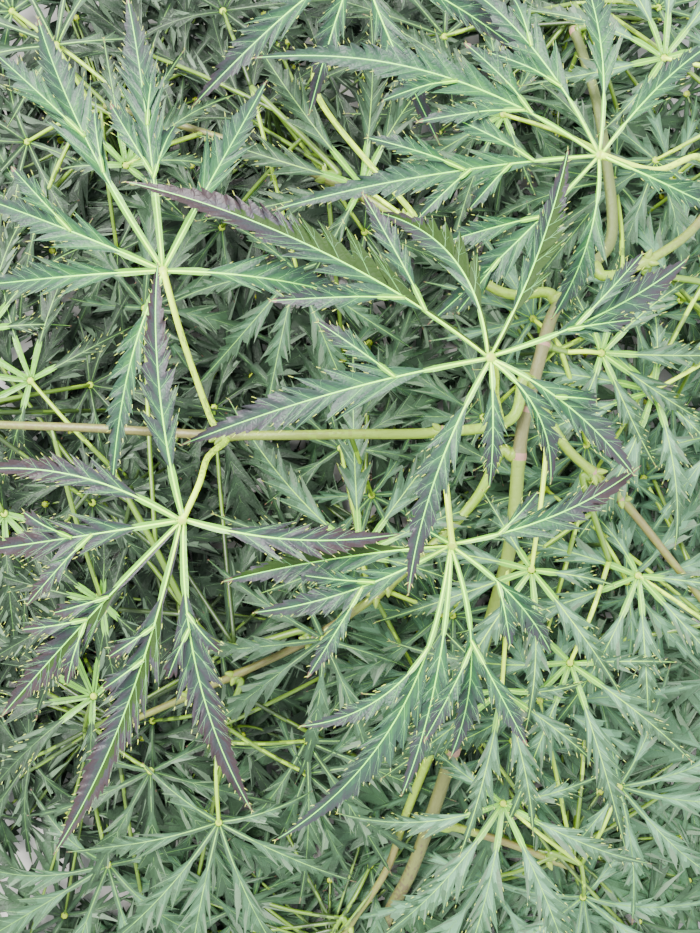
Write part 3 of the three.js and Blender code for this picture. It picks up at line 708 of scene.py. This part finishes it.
RIB_RELIEF = 0.00005
TOOTH_RELIEF = 0.00003
BUMP_STRENGTH = 0.6
GRAIN_SCALE = 260.0
CELL_EDGE = 0.25  # how far from a cell's edge its relief is full, as a share of a cell
CELL_SHARE = 0.6  # of the relief, beside the soft grain's 1


def shade(r, g, b):
    """A plain colour from its screen values of 0 to 255, as the even light values that a shader takes."""
    c = np.array([r, g, b]) / 255
    light = np.where(c <= 0.04045, c / 12.92, ((c + 0.055) / 1.055) ** 2.4)
    return (*(float(x) for x in light), 1.0)


def ramp(keys, count):
    """That many colours, evenly spaced along the straight lines between the key colours."""
    keys = np.array(keys, float)
    x = np.linspace(0, len(keys) - 1, count)
    return [tuple(np.interp(x[i], np.arange(len(keys)), keys[:, c]) for c in range(3)) for i in range(count)]


def node_group(name, inputs, outputs):
    """An empty node group with those value sockets, given as name and first value, and its two end
    nodes."""
    group = bpy.data.node_groups.new(name, "ShaderNodeTree")
    for label, first in inputs:
        socket = group.interface.new_socket(name=label, in_out="INPUT", socket_type="NodeSocketFloat")
        socket.default_value = first
    for label in outputs:
        group.interface.new_socket(name=label, in_out="OUTPUT", socket_type="NodeSocketFloat")
    return group, group.nodes.new("NodeGroupInput"), group.nodes.new("NodeGroupOutput")


def made_node(nodes, kind, values=(), **settings):
    """A new node with those settings, and with those values on its own sockets."""
    node = nodes.new(kind)
    for name, setting in settings.items():
        setattr(node, name, setting)
    for socket, number in dict(values).items():
        node.inputs[socket].default_value = number
    return node


def leaf_grain():
    """Leaf skin, from Object coordinates: a net of the finest veins as the distance to cell edges, over a
    soft grain. It gives the height of that net and a roughness that is higher in the cells."""
    group, given, out = node_group(
        "leaf_grain", [("Cells per metre", LEAF_CELLS), ("Roughness", 0.5), ("Variation", 0.12)],
        ["Height", "Roughness"])
    nodes = group.nodes
    place = nodes.new("ShaderNodeTexCoord")
    net = made_node(nodes, "ShaderNodeTexVoronoi", feature="DISTANCE_TO_EDGE")
    grain = made_node(nodes, "ShaderNodeTexNoise", {"Scale": GRAIN_SCALE, "Detail": 4.0})
    cell = made_node(nodes, "ShaderNodeMapRange", {"From Max": CELL_EDGE})
    height = made_node(nodes, "ShaderNodeMath", {1: CELL_SHARE}, operation="MULTIPLY_ADD")
    centred = made_node(nodes, "ShaderNodeMath", {1: 0.5}, operation="SUBTRACT")
    rough = made_node(nodes, "ShaderNodeMath", operation="MULTIPLY_ADD")
    for source, fed in [
            (place.outputs["Object"], net.inputs["Vector"]),
            (place.outputs["Object"], grain.inputs["Vector"]),
            (given.outputs["Cells per metre"], net.inputs["Scale"]),
            (net.outputs["Distance"], cell.inputs["Value"]),
            (cell.outputs["Result"], height.inputs[0]),
            (grain.outputs["Fac"], height.inputs[2]),
            (height.outputs["Value"], out.inputs["Height"]),
            (grain.outputs["Fac"], centred.inputs[0]),
            (centred.outputs["Value"], rough.inputs[0]),
            (given.outputs["Variation"], rough.inputs[1]),
            (given.outputs["Roughness"], rough.inputs[2]),
            (rough.outputs["Value"], out.inputs["Roughness"])]:
        group.links.new(source, fed)
    return group


GRAIN = leaf_grain()


def skin_finish(name, colour, roughness, cells=LEAF_CELLS, depth=LEAF_RELIEF, specular=0.5):
    """A plain base colour under a grained, satin skin."""
    finish = bpy.data.materials.new(name)
    finish.use_nodes = True
    nodes, links = finish.node_tree.nodes, finish.node_tree.links
    shader = nodes["Principled BSDF"]
    shader.inputs["Base Color"].default_value = shade(*colour)
    shader.inputs["Specular IOR Level"].default_value = specular
    surface = made_node(nodes, "ShaderNodeGroup", {"Cells per metre": cells, "Roughness": roughness},
                        node_tree=GRAIN)
    bump = made_node(nodes, "ShaderNodeBump", {"Distance": depth, "Strength": BUMP_STRENGTH})
    links.new(surface.outputs["Height"], bump.inputs["Height"])
    links.new(surface.outputs["Roughness"], shader.inputs["Roughness"])
    links.new(bump.outputs["Normal"], shader.inputs["Normal"])
    finish.diffuse_color = shade(*colour)
    return finish


def tone_finishes(name, colours, roughness, **more):
    """One finish to each of those colours."""
    return [skin_finish(f"{name}_{n}", colour, roughness, **more) for n, colour in enumerate(colours)]


leaf_finishes = tone_finishes("leaf_tone", ramp(LEAF_KEYS, TONES), 0.48, specular=0.24)
leaf_finishes += [
    skin_finish("leaf_underside", UNDERSIDE, 0.62),
    skin_finish("leaf_point", BLUSH, 0.5),
    skin_finish("leaf_lit", LIT, 0.65, specular=0.15),
    skin_finish("leaf_stalk", FRESH, 0.46),
]
deep_finishes = tone_finishes("deep_leaf_tone", ramp(DEEP_KEYS, TONES), 0.52, specular=0.19)
deep_finishes += leaf_finishes[TONES:]
rib_finishes = tone_finishes("midrib_tone", ramp(RIB_KEYS, RIB_TONES), 0.42, depth=RIB_RELIEF)
deep_rib_finishes = tone_finishes("deep_midrib_tone", ramp(DEEP_RIB_KEYS, RIB_TONES), 0.45, depth=RIB_RELIEF)
vein_finishes = tone_finishes("side_vein_tone", ramp(VEIN_KEYS, RIB_TONES), 0.45, depth=RIB_RELIEF)
deep_vein_finishes = tone_finishes("deep_side_vein_tone", ramp(DEEP_VEIN_KEYS, RIB_TONES), 0.5,
                                   depth=RIB_RELIEF)
stalk_finishes = tone_finishes("stalk_tone", STALK_COLOURS, 0.42, depth=RIB_RELIEF)
hub_finishes = [
    skin_finish("hub_green", HUB_GREEN, 0.45, depth=RIB_RELIEF),
    skin_finish("hub_top", HUB_TOP, 0.5, depth=RIB_RELIEF),
]
tooth_finishes = [skin_finish("tooth_point", TOOTH_TIP, 0.45, depth=TOOTH_RELIEF)]
bark_finishes = tone_finishes("bark_tone", [*BARK_COLOURS, SCAR], 0.62, cells=500, depth=0.0002)
green_bark_finishes = tone_finishes("green_bark_tone", [*ramp(GREEN_BARK_KEYS, 5), SCAR], 0.5, cells=600)


# Stem and shoots
STEM_TONES = [(0, 0), (0.3, 1), (0.4, 2), (0.483, 2), (0.487, 3), (0.56, 3), (0.7, 4), (1, 4)]
SHOOT_TONES = [(0, 1), (0.25, 0), (0.6, 2), (0.66, 4), (1, 3)]
TONE_SCATTER = 0.35
FLARE_LENGTH = 2.5  # along a limb in which its wider foot is gone by a third
NODE_LENGTH = 1.6  # the same for a node's swelling
WANDER_LENGTH = 9.0
WANDER = 0.2  # radians
RIDGE_HEIGHT = 0.02  # as a share of the limb's radius, as is the next
BARK_UNEVEN = 0.014
LEAST_LIFT = 1.06  # of a limb's middle line over the floor, in its radii
BUD_SIDES = (1, -1)
BUD_LEANS = (0.9, 0.8)  # upward and forward, beside 1 outward
BUD_LENGTH = 3.4
BUD_VARIES = 0.5
BUD_WIDTH = 1.15
SCAR_HALF = 0.0022  # half a scar's width, as a share of its limb's length

limbs = {"main_stem": MAIN_STEM}
for name, (t, places) in SHOOTS.items():
    limbs[name] = grown(MAIN_STEM, t, places, SHOOT_RADII)


def joints_on(carrier):
    """Places on a limb where anything leaves it."""
    found = [t for t, _ in SHOOTS.values()] if carrier == "main_stem" else []
    found += [leaf["at"] for leaf in LARGE_LEAVES.values() if leaf["carrier"] == carrier]
    found += [t for name, t, _, _ in SPRAYS.values() if name == carrier]
    return found


def limb_skin(limb, nodes, sides, steps, ridges, swelling, seed, flare):
    """A limb's skin: its tapering tube with low ridges that run along it and wander, a ring of swelling at
    each node, and a wider foot."""
    t, path, radii = limb.run(steps)
    a = 2 * np.pi * np.arange(sides) / sides
    length = np.linalg.norm(np.diff(path, axis=0), axis=1).sum()
    relief = 1 + flare * np.exp(-t * length / FLARE_LENGTH)
    for node in nodes:
        relief = relief + swelling * np.exp(-((t - node) * length / NODE_LENGTH) ** 2)
    wander = WANDER * np.sin(t * length / WANDER_LENGTH + seed)
    ring, corner = np.arange(len(t))[:, None], np.arange(sides)[None]
    grooves = (RIDGE_HEIGHT * np.cos(ridges * (a[None] + wander[:, None]))
               + BARK_UNEVEN * wobble(ring * 31 + corner * 7 + seed))
    path[:, 2] = np.maximum(path[:, 2], LEAST_LIFT * radii)
    return tube(path, radii, sides, relief[:, None] * (1 + grooves)), t


def along_tone(t, keys, corners):
    """Material numbers by place along a limb: the nearest whole number on the line through the given
    tones."""
    middle = (t[:-1] + t[1:]) / 2
    x = np.interp(middle, [k[0] for k in keys], [k[1] for k in keys])
    scatter = TONE_SCATTER * wobble(np.arange(len(middle))[:, None] * 13 + np.arange(corners)[None] * 5)
    return np.clip(np.round(x[:, None] + scatter), 0, max(k[1] for k in keys)).astype(int)


def scarred(tone, t, nodes):
    """Those tones with the scar's close to each node's place along the limb."""
    near = np.abs(((t[:-1] + t[1:]) / 2)[:, None] - np.array(nodes)[None]).min(1) < SCAR_HALF
    return np.where(near[:, None], SCAR_TONE, tone)


def bud_skin(start, toward, length, width):
    """A bud from a start inside its limb: rings of radius width sin(pi x)^0.6 (1 - 0.45 x) along its
    length."""
    x = np.linspace(0.02, 0.99, 12)
    path = np.array(start, float) + length * x[:, None] * unit(np.array(toward, float))
    return tube(path, width * np.sin(np.pi * x) ** 0.6 * (1 - 0.45 * x), 10)


def stem_bark():
    """The main stem's bark, in tones that change where the shoots leave it."""
    nodes, sides = joints_on("main_stem"), 20
    rings, t = limb_skin(MAIN_STEM, nodes, sides, steps=420, ridges=6, swelling=0.16, seed=1, flare=0.0)
    bark = Skins()
    bark.add(rings, scarred(along_tone(t, STEM_TONES, sides), t, nodes))
    bark.piece("main_stem_bark", bark_finishes, "bark", ["main_stem"])


def shoots_bark():
    """The shoots' bark, with a pair of buds at each node."""
    bark, sides = Skins(), 12
    for n, name in enumerate(SHOOTS):
        limb, nodes = limbs[name], joints_on(name)
        steps = 240 if name == "left_shoot" else 130
        rings, t = limb_skin(limb, nodes, sides, steps, ridges=5, swelling=0.28, seed=n + 2, flare=0.35)
        bark.add(rings, scarred(along_tone(t, SHOOT_TONES, sides), t, nodes))
        for m, node in enumerate(nodes):
            for side in BUD_SIDES:
                out = np.cross(limb.along(node), [0, 0, side]) + [0, 0, BUD_LEANS[0]]
                toward = unit(out) + BUD_LEANS[1] * limb.along(node)
                length = BUD_LENGTH + BUD_VARIES * wobble(n * 9 + m)
                bark.add(bud_skin(limb.point(node), toward, length, BUD_WIDTH), 1)
    bark.piece("shoots_bark", green_bark_finishes, "green_bark", list(SHOOTS))


stem_bark()
shoots_bark()


# Leaves
LARGE_COLUMNS = np.array([1, 0.88, 0.68, 0.42, 0.18, 0, -0.18, -0.42, -0.68, -0.88, -1])
LARGE_UNDER = np.array([-0.42, 0, 0.42])
SPRAY_COLUMNS = np.array([1, 0.5, 0, -0.5, -1])
SPRAY_UNDER = np.array([0.0])
MIDRIB_END = 0.985  # share of a lobe's length at which its midrib ends
VEIN_END = 0.93  # share of the way from the midrib to the edge
VEIN_THINS = 0.4  # how much thinner the last side veins are
FINE_VEIN_START = 0.3  # the same share, where the finest veins start
HUB_WAVES = 0.13  # how far a hub is drawn out towards its lobes, as a share of its radius
LARGE_SIDES = dict(stalk=(12, 60), midrib=(7, 34), vein=(4, 7))  # sides and rings of a large leaf's tubes
STALK_WIDENS = ((0.5, 30), (0.35, 22))  # at its foot and its hub: by how much, and how soon that ends
LARGE_HUB = 0.68  # of HUB_RADIUS and HUB_HEIGHT
SMALL_HUB = 0.58
LARGE_STALK_TONES = [(0, 2), (0.5, 2.6), (1, 3)]
LARGE_RIB_TONES = [(0, 0), (0.3, 2), (1, RIB_TONES - 1)]


def add_blade(lobe, columns, under_columns, into):
    """A lobe's blade with its tones. Its two edges are knife edges."""
    edges = (0, len(columns) - 1)
    into.add(blade(lobe, columns, under_columns), blade_tones(lobe, columns, under_columns), edges)


def midrib_skin(lobe, sides, steps):
    """A raised midrib: a tube along it that thins towards the point."""
    t = np.linspace(0, MIDRIB_END, steps)
    return tube(midrib(lobe, t), between(MIDRIB, t ** 0.8) * lobe["rib"], sides), t


def vein_skins(lobe, sides, steps, into, most=None, tone=2):
    """Side veins, one to each lobule on each side, or to at most that many, from the midrib out to the
    leading tooth."""
    x = np.linspace(0, 1, steps)
    for k, (start, end) in enumerate(zip(lobe["cuts"][:most], lobe["cuts"][1:])):
        if end - start == 1:
            continue
        for side in (1, -1):
            lead = start + LEADING[end - start] + 0 * x
            path, _ = on_blade(lobe, lead, side * between((0.01, VEIN_END), x))
            thin = 1 - VEIN_THINS * start / lobe["teeth"]
            into.add(tube(path, between(SIDE_VEIN, x) * lobe["rib"] * thin, sides), tone + min(2, k // 2))


def fine_vein_skins(lobe, into):
    """The finest veins: from a lobule's side vein out to each of its other teeth."""
    x = np.linspace(0, 1, 4)
    for start, end in zip(lobe["cuts"], lobe["cuts"][1:]):
        lead = start + LEADING[end - start]
        for tooth in np.arange(start, end) + TOOTH_POINT:
            if tooth == lead or end - start == 1:
                continue
            for side in (1, -1):
                out = side * between((FINE_VEIN_START, VEIN_END), x)
                path, _ = on_blade(lobe, between((lead, tooth), x), out)
                into.add(tube(path, between(FINE_VEIN, x), 3), RIB_TONES - 1)


def tooth_skins(lobe, into):
    """A pale hooked point on more than half of the teeth: a small cone that leans past the edge and curls
    up."""
    for side in (1, -1):
        phase = np.arange(lobe["teeth"]) + TOOTH_POINT
        phase = phase[wobble(np.arange(len(phase)) + 7 * side + lobe["seed"]) < POINTED]
        edge, above = on_blade(lobe, phase, side * np.ones(len(phase)))
        inner, _ = on_blade(lobe, phase, side * np.full(len(phase), 0.9))
        out = unit(edge - inner)
        size = 0.8 + 0.3 * wobble(np.arange(len(phase)) + lobe["seed"])
        for e, o, u, s in zip(edge, out, above, size):
            x = np.array([0.0, 0.5, 1.0])[:, None]
            path = e + s * (x - 0.35) * o + 0.35 * s * x * x * u
            into.add(tube(path, np.array(POINT_RADII) * (0.7 + 0.3 * s), 3))


def hub_skin(hub, seed, size, sides=21, steps=7):
    """The knob where lobes meet, and its tones: half rings over a low dome, its edge drawn out a little
    towards each lobe, with the top ring in a tone of its own."""
    x = np.linspace(0, 1, steps)
    a = 2 * np.pi * np.arange(sides) / sides
    star = 1 + HUB_WAVES * np.cos(len(FAN) * a + seed)
    r = size * HUB_RADIUS * np.sin(np.pi * (0.06 + 0.88 * x))[:, None] * star
    z = size * HUB_HEIGHT * -np.cos(np.pi * x) / 1.6
    rings = np.stack([r * np.cos(a), r * np.sin(a), np.broadcast_to(z[:, None], r.shape)], -1)
    tone = np.where(np.arange(steps - 1)[:, None] >= steps - 2, 1, 0) * np.ones(sides, int)
    return rings + np.array(hub, float), tone


ribs, veins, stalks, hubs, teeth = Skins(), Skins(), Skins(), Skins(), Skins()
for n, (name, leaf) in enumerate(LARGE_LEAVES.items()):
    stalk = grown(limbs[leaf["carrier"]], leaf["at"], [*leaf["stalk"], leaf["hub"]], STALK_RADII)
    sides, steps = LARGE_SIDES["stalk"]
    t, path, radii = stalk.run(steps)
    (at_foot, foot_ends), (at_hub, hub_ends) = STALK_WIDENS
    widening = 1 + at_foot * np.exp(-t * foot_ends) + at_hub * np.exp(-(1 - t) * hub_ends)
    stalks.add(tube(path, radii * widening, sides), along_tone(t, LARGE_STALK_TONES, sides))
    hubs.add(*hub_skin(leaf["hub"], n, LARGE_HUB))
    blades = Skins()
    for lobe in lobes_told(np.array(leaf["hub"], float), leaf["lobes"], n + 1, **leaf["looks"]):
        add_blade(lobe, LARGE_COLUMNS, LARGE_UNDER, blades)
        rings, t = midrib_skin(lobe, *LARGE_SIDES["midrib"])
        ribs.add(rings, along_tone(t, LARGE_RIB_TONES, rings.shape[1]))
        vein_skins(lobe, *LARGE_SIDES["vein"], veins)
        fine_vein_skins(lobe, veins)
        tooth_skins(lobe, teeth)
    blades.piece(f"{name}_blades", leaf_finishes, "leaves", [name])

ribs.piece("large_leaf_midribs", rib_finishes, "leaves")
veins.piece("large_leaf_veins", vein_finishes, "leaves")
stalks.piece("large_leaf_stalks", stalk_finishes, "green_bark")

# How finely a leaf that grows by rule is drawn: high up, first of its spray, younger, or one of the lowest.
# A midrib has sides and rings, and so has a side vein. veins is how many lobules have one, and a hub has
# corners and rings
GRADES = dict(
    high=dict(midrib=(5, 14), vein=(3, 4), veins=6, hub=(14, 5),
              looks=dict(fine=True, rib=0.85, coarse=1.1, slim=0.55, edging=0.28, ageing=0.28, fresh=True)),
    first=dict(midrib=(5, 14), vein=(3, 4), veins=6, hub=(14, 5),
               looks=dict(fine=True, rib=0.85, coarse=1.3)),
    younger=dict(midrib=(3, 7), vein=(3, 2), veins=3, hub=(14, 5),
                 looks=dict(fine=False, rib=0.8, coarse=1.6)),
    lowest=dict(midrib=(3, 5), veins=0, hub=(7, 4),
                looks=dict(fine=False, rib=0.8, coarse=2.0)),
)
RULE_LOOKS = dict(thick=0.8, slim=0.58, edging=0.2, ageing=0.2, blush=0.97, fresh=False)
DEEP_FROM = 60.0  # height under which leaves are painted darker, as painted shade
PALE_REACH = 130.0  # painted light: how far towards the right and the cut end they are painted palest
PALE_ALONG = 0.6  # how much the way towards the cut end counts, beside 1 for the way to the right
SHADED = ((-78, -30, 56), (-19, 114, 36))  # places about which they are darker: across, along, and how far
# Tint shifts: deep, shaded and the lowest leaves' share are painted shade, pale is painted light, dealt
# varies at random
TINT = dict(base=0.16, deep=0.42, dealt=0.12, pale=0.2, shaded=0.6, least=0.17)
LOWEST_SHADE = 0.2  # painted shade that the lowest leaves have on top of that
LOWEST_STALK = 0.6  # their stalks, as a share of STALK_RADII
# painted shade: how much darker a shaded leaf's midribs and side veins are
SHADED_RIB = 0.7
TONE_RISE = 0.6  # of a stalk or a midrib from its foot to its tip
STALK_DULLS = 2  # tones that a stalk loses to painted shade on the lowest leaves and where shaded
SEEDS_FROM = dict(younger=500, lone=800, lowest=900)
SPRAY_PIECES = 6  # pieces that the sprays' blades make
LONE_PIECE = 4  # number of the one with the single leaves' blades
LOWEST_PIECES = 2
TWIG_SIDES = (8, 30)  # sides and rings, as are the next
STALK_SIDES = (6, 14)
TWIG_WIDENS = (0.4, 20)  # at its foot: by how much, and how soon that ends
LOWEST_FROM = 0.9  # place on a twig where the lowest leaves' stalks start
LOWEST_BEND = (0.28, 3.0)  # where their stalks have bent down: share of the way, and height over the hub


def younger(leaf, seed):
    """The younger leaves of a spray behind one of its leaves, and how broad each is: hub moved away from
    that leaf's middle lobe and down, and turned by their own amounts."""
    x, y, z, middle, reach = leaf
    ages = zip(YOUNGER_TURN, YOUNGER_AWAY, YOUNGER_DROP, YOUNGER_REACH, YOUNGER_BROAD)
    for k, (turned, share, drop, size, broad) in enumerate(ages):
        turn = turned + YOUNGER_VARIES * wobble(seed * 19 + k)
        away = share * reach * heading(middle + turn * YOUNGER_SPREAD)
        low = max(LOWEST_HUB + HUB_STEP * k, z - drop)
        hub = np.clip([x + away[0], y + away[1]], CENTRE[:2] - WITHIN, CENTRE[:2] + WITHIN)
        yield [*hub, low, middle + turn, reach * size], broad


def undergrowth():
    """The lowest leaves, each moved about inside its cell of the grid and turned by its own amount, and
    the told ones that fill gaps among them."""
    for n in range(CELLS[0] * CELLS[1]):
        cell = np.array([n % CELLS[0], n // CELLS[0]])
        moved = CELL_VARIES * np.array([wobble(n * 3 + 1), wobble(n * 5 + 2)])
        x, y = CENTRE[:2] + CELL * (cell - (np.array(CELLS) - 1) / 2 + moved)
        z = between(UNDER_HEIGHT, 0.5 + 0.5 * wobble(n * 7 + 3))
        yield [x, y, z, 180 * wobble(n * 11 + 4), between(UNDER_REACH, 0.5 + 0.5 * wobble(n * 13 + 5))]
    yield from UNDER_MORE


spray_pieces = [(Skins(), []) for _ in range(SPRAY_PIECES)]
under_blades = [Skins() for _ in range(LOWEST_PIECES)]
twigs, spray_ribs, spray_veins = Skins(), Skins(), Skins()


def low_stalk(foot, hub, lowest):
    """A stalk that rises a little between its foot and its hub. The lowest bend down at once and run on
    low."""
    middle = (foot + hub) / 2 + np.array([0, 0, STALK_LIFT])
    if lowest:
        share, over = LOWEST_BEND
        middle = np.append(between((foot, hub), share)[:2], hub[2] + over)
    return Limb([foot, middle, hub], STALK_RADII)


def grow(leaf, own, foot, blades, grade, broad=1.0):
    """One leaf by rule: its stalk from that foot, its hub and its lobes, drawn as its grade says. Its colours
    carry painted shade, darker the lower it is and where others shade it, and painted light, paler towards
    the cut end and the right."""
    drawn, lowest = GRADES[grade], grade == "lowest"
    hub, foot = np.array(leaf[:3], float), np.array(foot, float)
    depth = np.clip(1 - hub[2] / DEEP_FROM, 0, 1)
    lowest_shade = LOWEST_SHADE if lowest else 0.0
    # painted light: leaves are painted paler towards the right and the cut end
    pale = np.clip((hub[0] - PALE_ALONG * hub[1]) / PALE_REACH, -1, 1)
    shaded = sum(np.exp(-((hub[0] - x) ** 2 + (hub[1] - y) ** 2) / far ** 2) for x, y, far in SHADED)
    last_stalk, last_rib = len(STALK_COLOURS) - 1, RIB_TONES - 1
    # painted shade: a stalk is painted duller the lower its leaf, on the lowest leaves and where shaded
    bright = max(0, last_stalk * (1 - depth) - STALK_DULLS * (lowest_shade + shaded))
    stalk = low_stalk(foot, hub, lowest)
    sides, steps = STALK_SIDES
    t = np.linspace(0, 1, steps)
    twigs.add(tube(stalk.point(t), stalk.radius(t) * (LOWEST_STALK if lowest else FINE_STALK), sides),
              along_tone(t, [(0, bright), (1, bright + TONE_RISE), (1, last_stalk)], sides))
    hubs.add(*hub_skin(hub, own, SMALL_HUB, *drawn["hub"]))
    tint = (TINT["base"] + TINT["deep"] * depth + TINT["dealt"] * wobble(own * 23) + lowest_shade
            - TINT["pale"] * pale + TINT["shaded"] * shaded)
    looks = {**RULE_LOOKS, **drawn["looks"], "tint": max(TINT["least"], tint)}
    # painted shade: midribs and side veins are darker on low, lowest and shaded leaves
    rib_tone = last_rib * np.clip(depth + lowest_shade + SHADED_RIB * shaded, 0, 1)
    rib_tones = [(0, rib_tone), (1, rib_tone + TONE_RISE), (1, last_rib)]
    for lobe in lobes_by_rule(leaf, own, broad, **looks):
        add_blade(lobe, SPRAY_COLUMNS, SPRAY_UNDER, blades)
        if grade == "high":
            tooth_skins(lobe, teeth)
        rings, t = midrib_skin(lobe, *drawn["midrib"])
        spray_ribs.add(rings, along_tone(t, rib_tones, rings.shape[1]))
        if drawn["veins"]:
            vein_skins(lobe, *drawn["vein"], spray_veins, drawn["veins"], tone=min(2, int(rib_tone / 1.5)))


def first_grade(leaf):
    """The grade of a spray's own leaf or a single one, by the height of its hub."""
    return "high" if leaf[2] >= NEAR else "first"


seed = 0
extra_seed = SEEDS_FROM["younger"]
ends = []
for number, (name, (carrier, at, places, leaves)) in enumerate(SPRAYS.items()):
    twig = grown(limbs[carrier], at, places, TWIG_RADII)
    sides, steps = TWIG_SIDES
    t, path, radii = twig.run(steps)
    at_foot, foot_ends = TWIG_WIDENS
    twigs.add(tube(path, radii * (1 + at_foot * np.exp(-t * foot_ends)), sides), 1)
    ends.append(twig.point(LOWEST_FROM))
    blades, nodes = spray_pieces[number % len(spray_pieces)]
    nodes.append(name)
    for leaf in leaves:
        seed += 1
        grow(leaf, seed, places[-1], blades, first_grade(leaf))
        for k, (small, broad) in enumerate(younger(leaf, seed)):
            extra_seed += 1
            grow(small, extra_seed, twig.point(1 - YOUNGER_STEP * (k + 1)), blades, "younger", broad)

for n, (carrier, at, leaf) in enumerate(LONE_LEAVES):
    blades, _ = spray_pieces[LONE_PIECE]
    grow(leaf, SEEDS_FROM["lone"] + n, limbs[carrier].point(at), blades, first_grade(leaf))

ends = np.array(ends)
for n, leaf in enumerate(undergrowth()):
    nearest = ends[np.linalg.norm(ends - leaf[:3], axis=1).argmin()]
    blades = under_blades[n % len(under_blades)]
    grow(leaf, SEEDS_FROM["lowest"] + n, nearest, blades, "lowest", UNDER_BROAD)

for n, (blades, nodes) in enumerate(spray_pieces):
    blades.piece(f"spray_blades_{n + 1}", deep_finishes, "deep_leaves", nodes)
for n, blades in enumerate(under_blades):
    blades.piece(f"lowest_blades_{n + 1}", deep_finishes, "deep_leaves")
spray_ribs.piece("spray_midribs", deep_rib_finishes, "deep_leaves")
spray_veins.piece("spray_veins", deep_vein_finishes, "deep_leaves")
twigs.piece("spray_twigs_and_stalks", stalk_finishes, "green_bark")
hubs.piece("leaf_hubs", hub_finishes, "leaves")
teeth.piece("tooth_points", tooth_finishes, "leaves")


# Floor, light and camera
FLOOR_HALF = 3.0  # metres, well past the camera's view
FLOOR_GRAIN = 40.0
FLOOR_ROUGHNESS = dict(least=0.75, most=0.85)
LIT_HEIGHT = 0.04  # of the point that the lights face
ROOM_LIGHT = (0.86, 0.93, 1.0, 1)
ROOM_POWER = 2.95


def floor_finish():
    """A plain pale finish, with a faint grain in its roughness."""
    finish = bpy.data.materials.new("pale_floor")
    finish.use_nodes = True
    nodes, links = finish.node_tree.nodes, finish.node_tree.links
    shader = nodes["Principled BSDF"]
    shader.inputs["Base Color"].default_value = shade(*PALE_FLOOR)
    grain = made_node(nodes, "ShaderNodeTexNoise", {"Scale": FLOOR_GRAIN})
    spread = made_node(nodes, "ShaderNodeMapRange",
                       {"To Min": FLOOR_ROUGHNESS["least"], "To Max": FLOOR_ROUGHNESS["most"]})
    links.new(grain.outputs["Fac"], spread.inputs["Value"])
    links.new(spread.outputs["Result"], shader.inputs["Roughness"])
    return finish


def floor():
    """A level square that reaches well past the camera's view."""
    far = FLOOR_HALF
    corners = [(-far, -far, 0), (far, -far, 0), (far, far, 0), (-far, far, 0)]
    mesh = bpy.data.meshes.new("floor")
    mesh.from_pydata(corners, [], [(0, 1, 2, 3)])
    mesh.materials.append(floor_finish())
    made = bpy.data.objects.new("floor", mesh)
    bpy.context.scene.collection.objects.link(made)


def soft_light(name, place, size, power, colour):
    """A square light that faces the branch's middle."""
    data = bpy.data.lights.new(name, "AREA")
    data.shape = "SQUARE"
    data.size = size
    data.energy = power
    data.color = colour
    light = bpy.data.objects.new(name, data)
    light.location = place
    back = unit(np.array(place) - np.array([0, 0, LIT_HEIGHT]))
    side = unit(np.cross([0.0, 1.0, 0.001], back))
    up = np.cross(back, side)
    light.rotation_euler = Matrix(np.stack([side, up, back], 1).tolist()).to_euler()
    bpy.context.scene.collection.objects.link(light)


def room():
    """Even light from all round."""
    world = bpy.data.worlds.new("soft_room")
    world.use_nodes = True
    background = world.node_tree.nodes["Background"]
    background.inputs["Color"].default_value = ROOM_LIGHT
    background.inputs["Strength"].default_value = ROOM_POWER
    bpy.context.scene.world = world


def camera():
    """The camera over the branch's middle, looking straight down, with the photograph's framing."""
    lens = bpy.data.cameras.new("camera")
    lens.sensor_fit = "VERTICAL"
    lens.sensor_height = SENSOR
    lens.lens = LENS
    lens.clip_start = 0.01
    made = bpy.data.objects.new("camera", lens)
    made.location = (-CENTRE[0] * MM, -CENTRE[1] * MM, (FOCUS_HEIGHT + FOCUS_DISTANCE) * MM)
    bpy.context.scene.collection.objects.link(made)
    bpy.context.scene.camera = made


floor()
soft_light("key_light", place=(-0.5, 0.45, 1.1), size=0.6, power=98, colour=(1.0, 0.99, 0.96))
soft_light("fill_light", place=(0.9, -0.3, 0.8), size=0.9, power=17, colour=(0.93, 0.96, 1.0))
room()
camera()
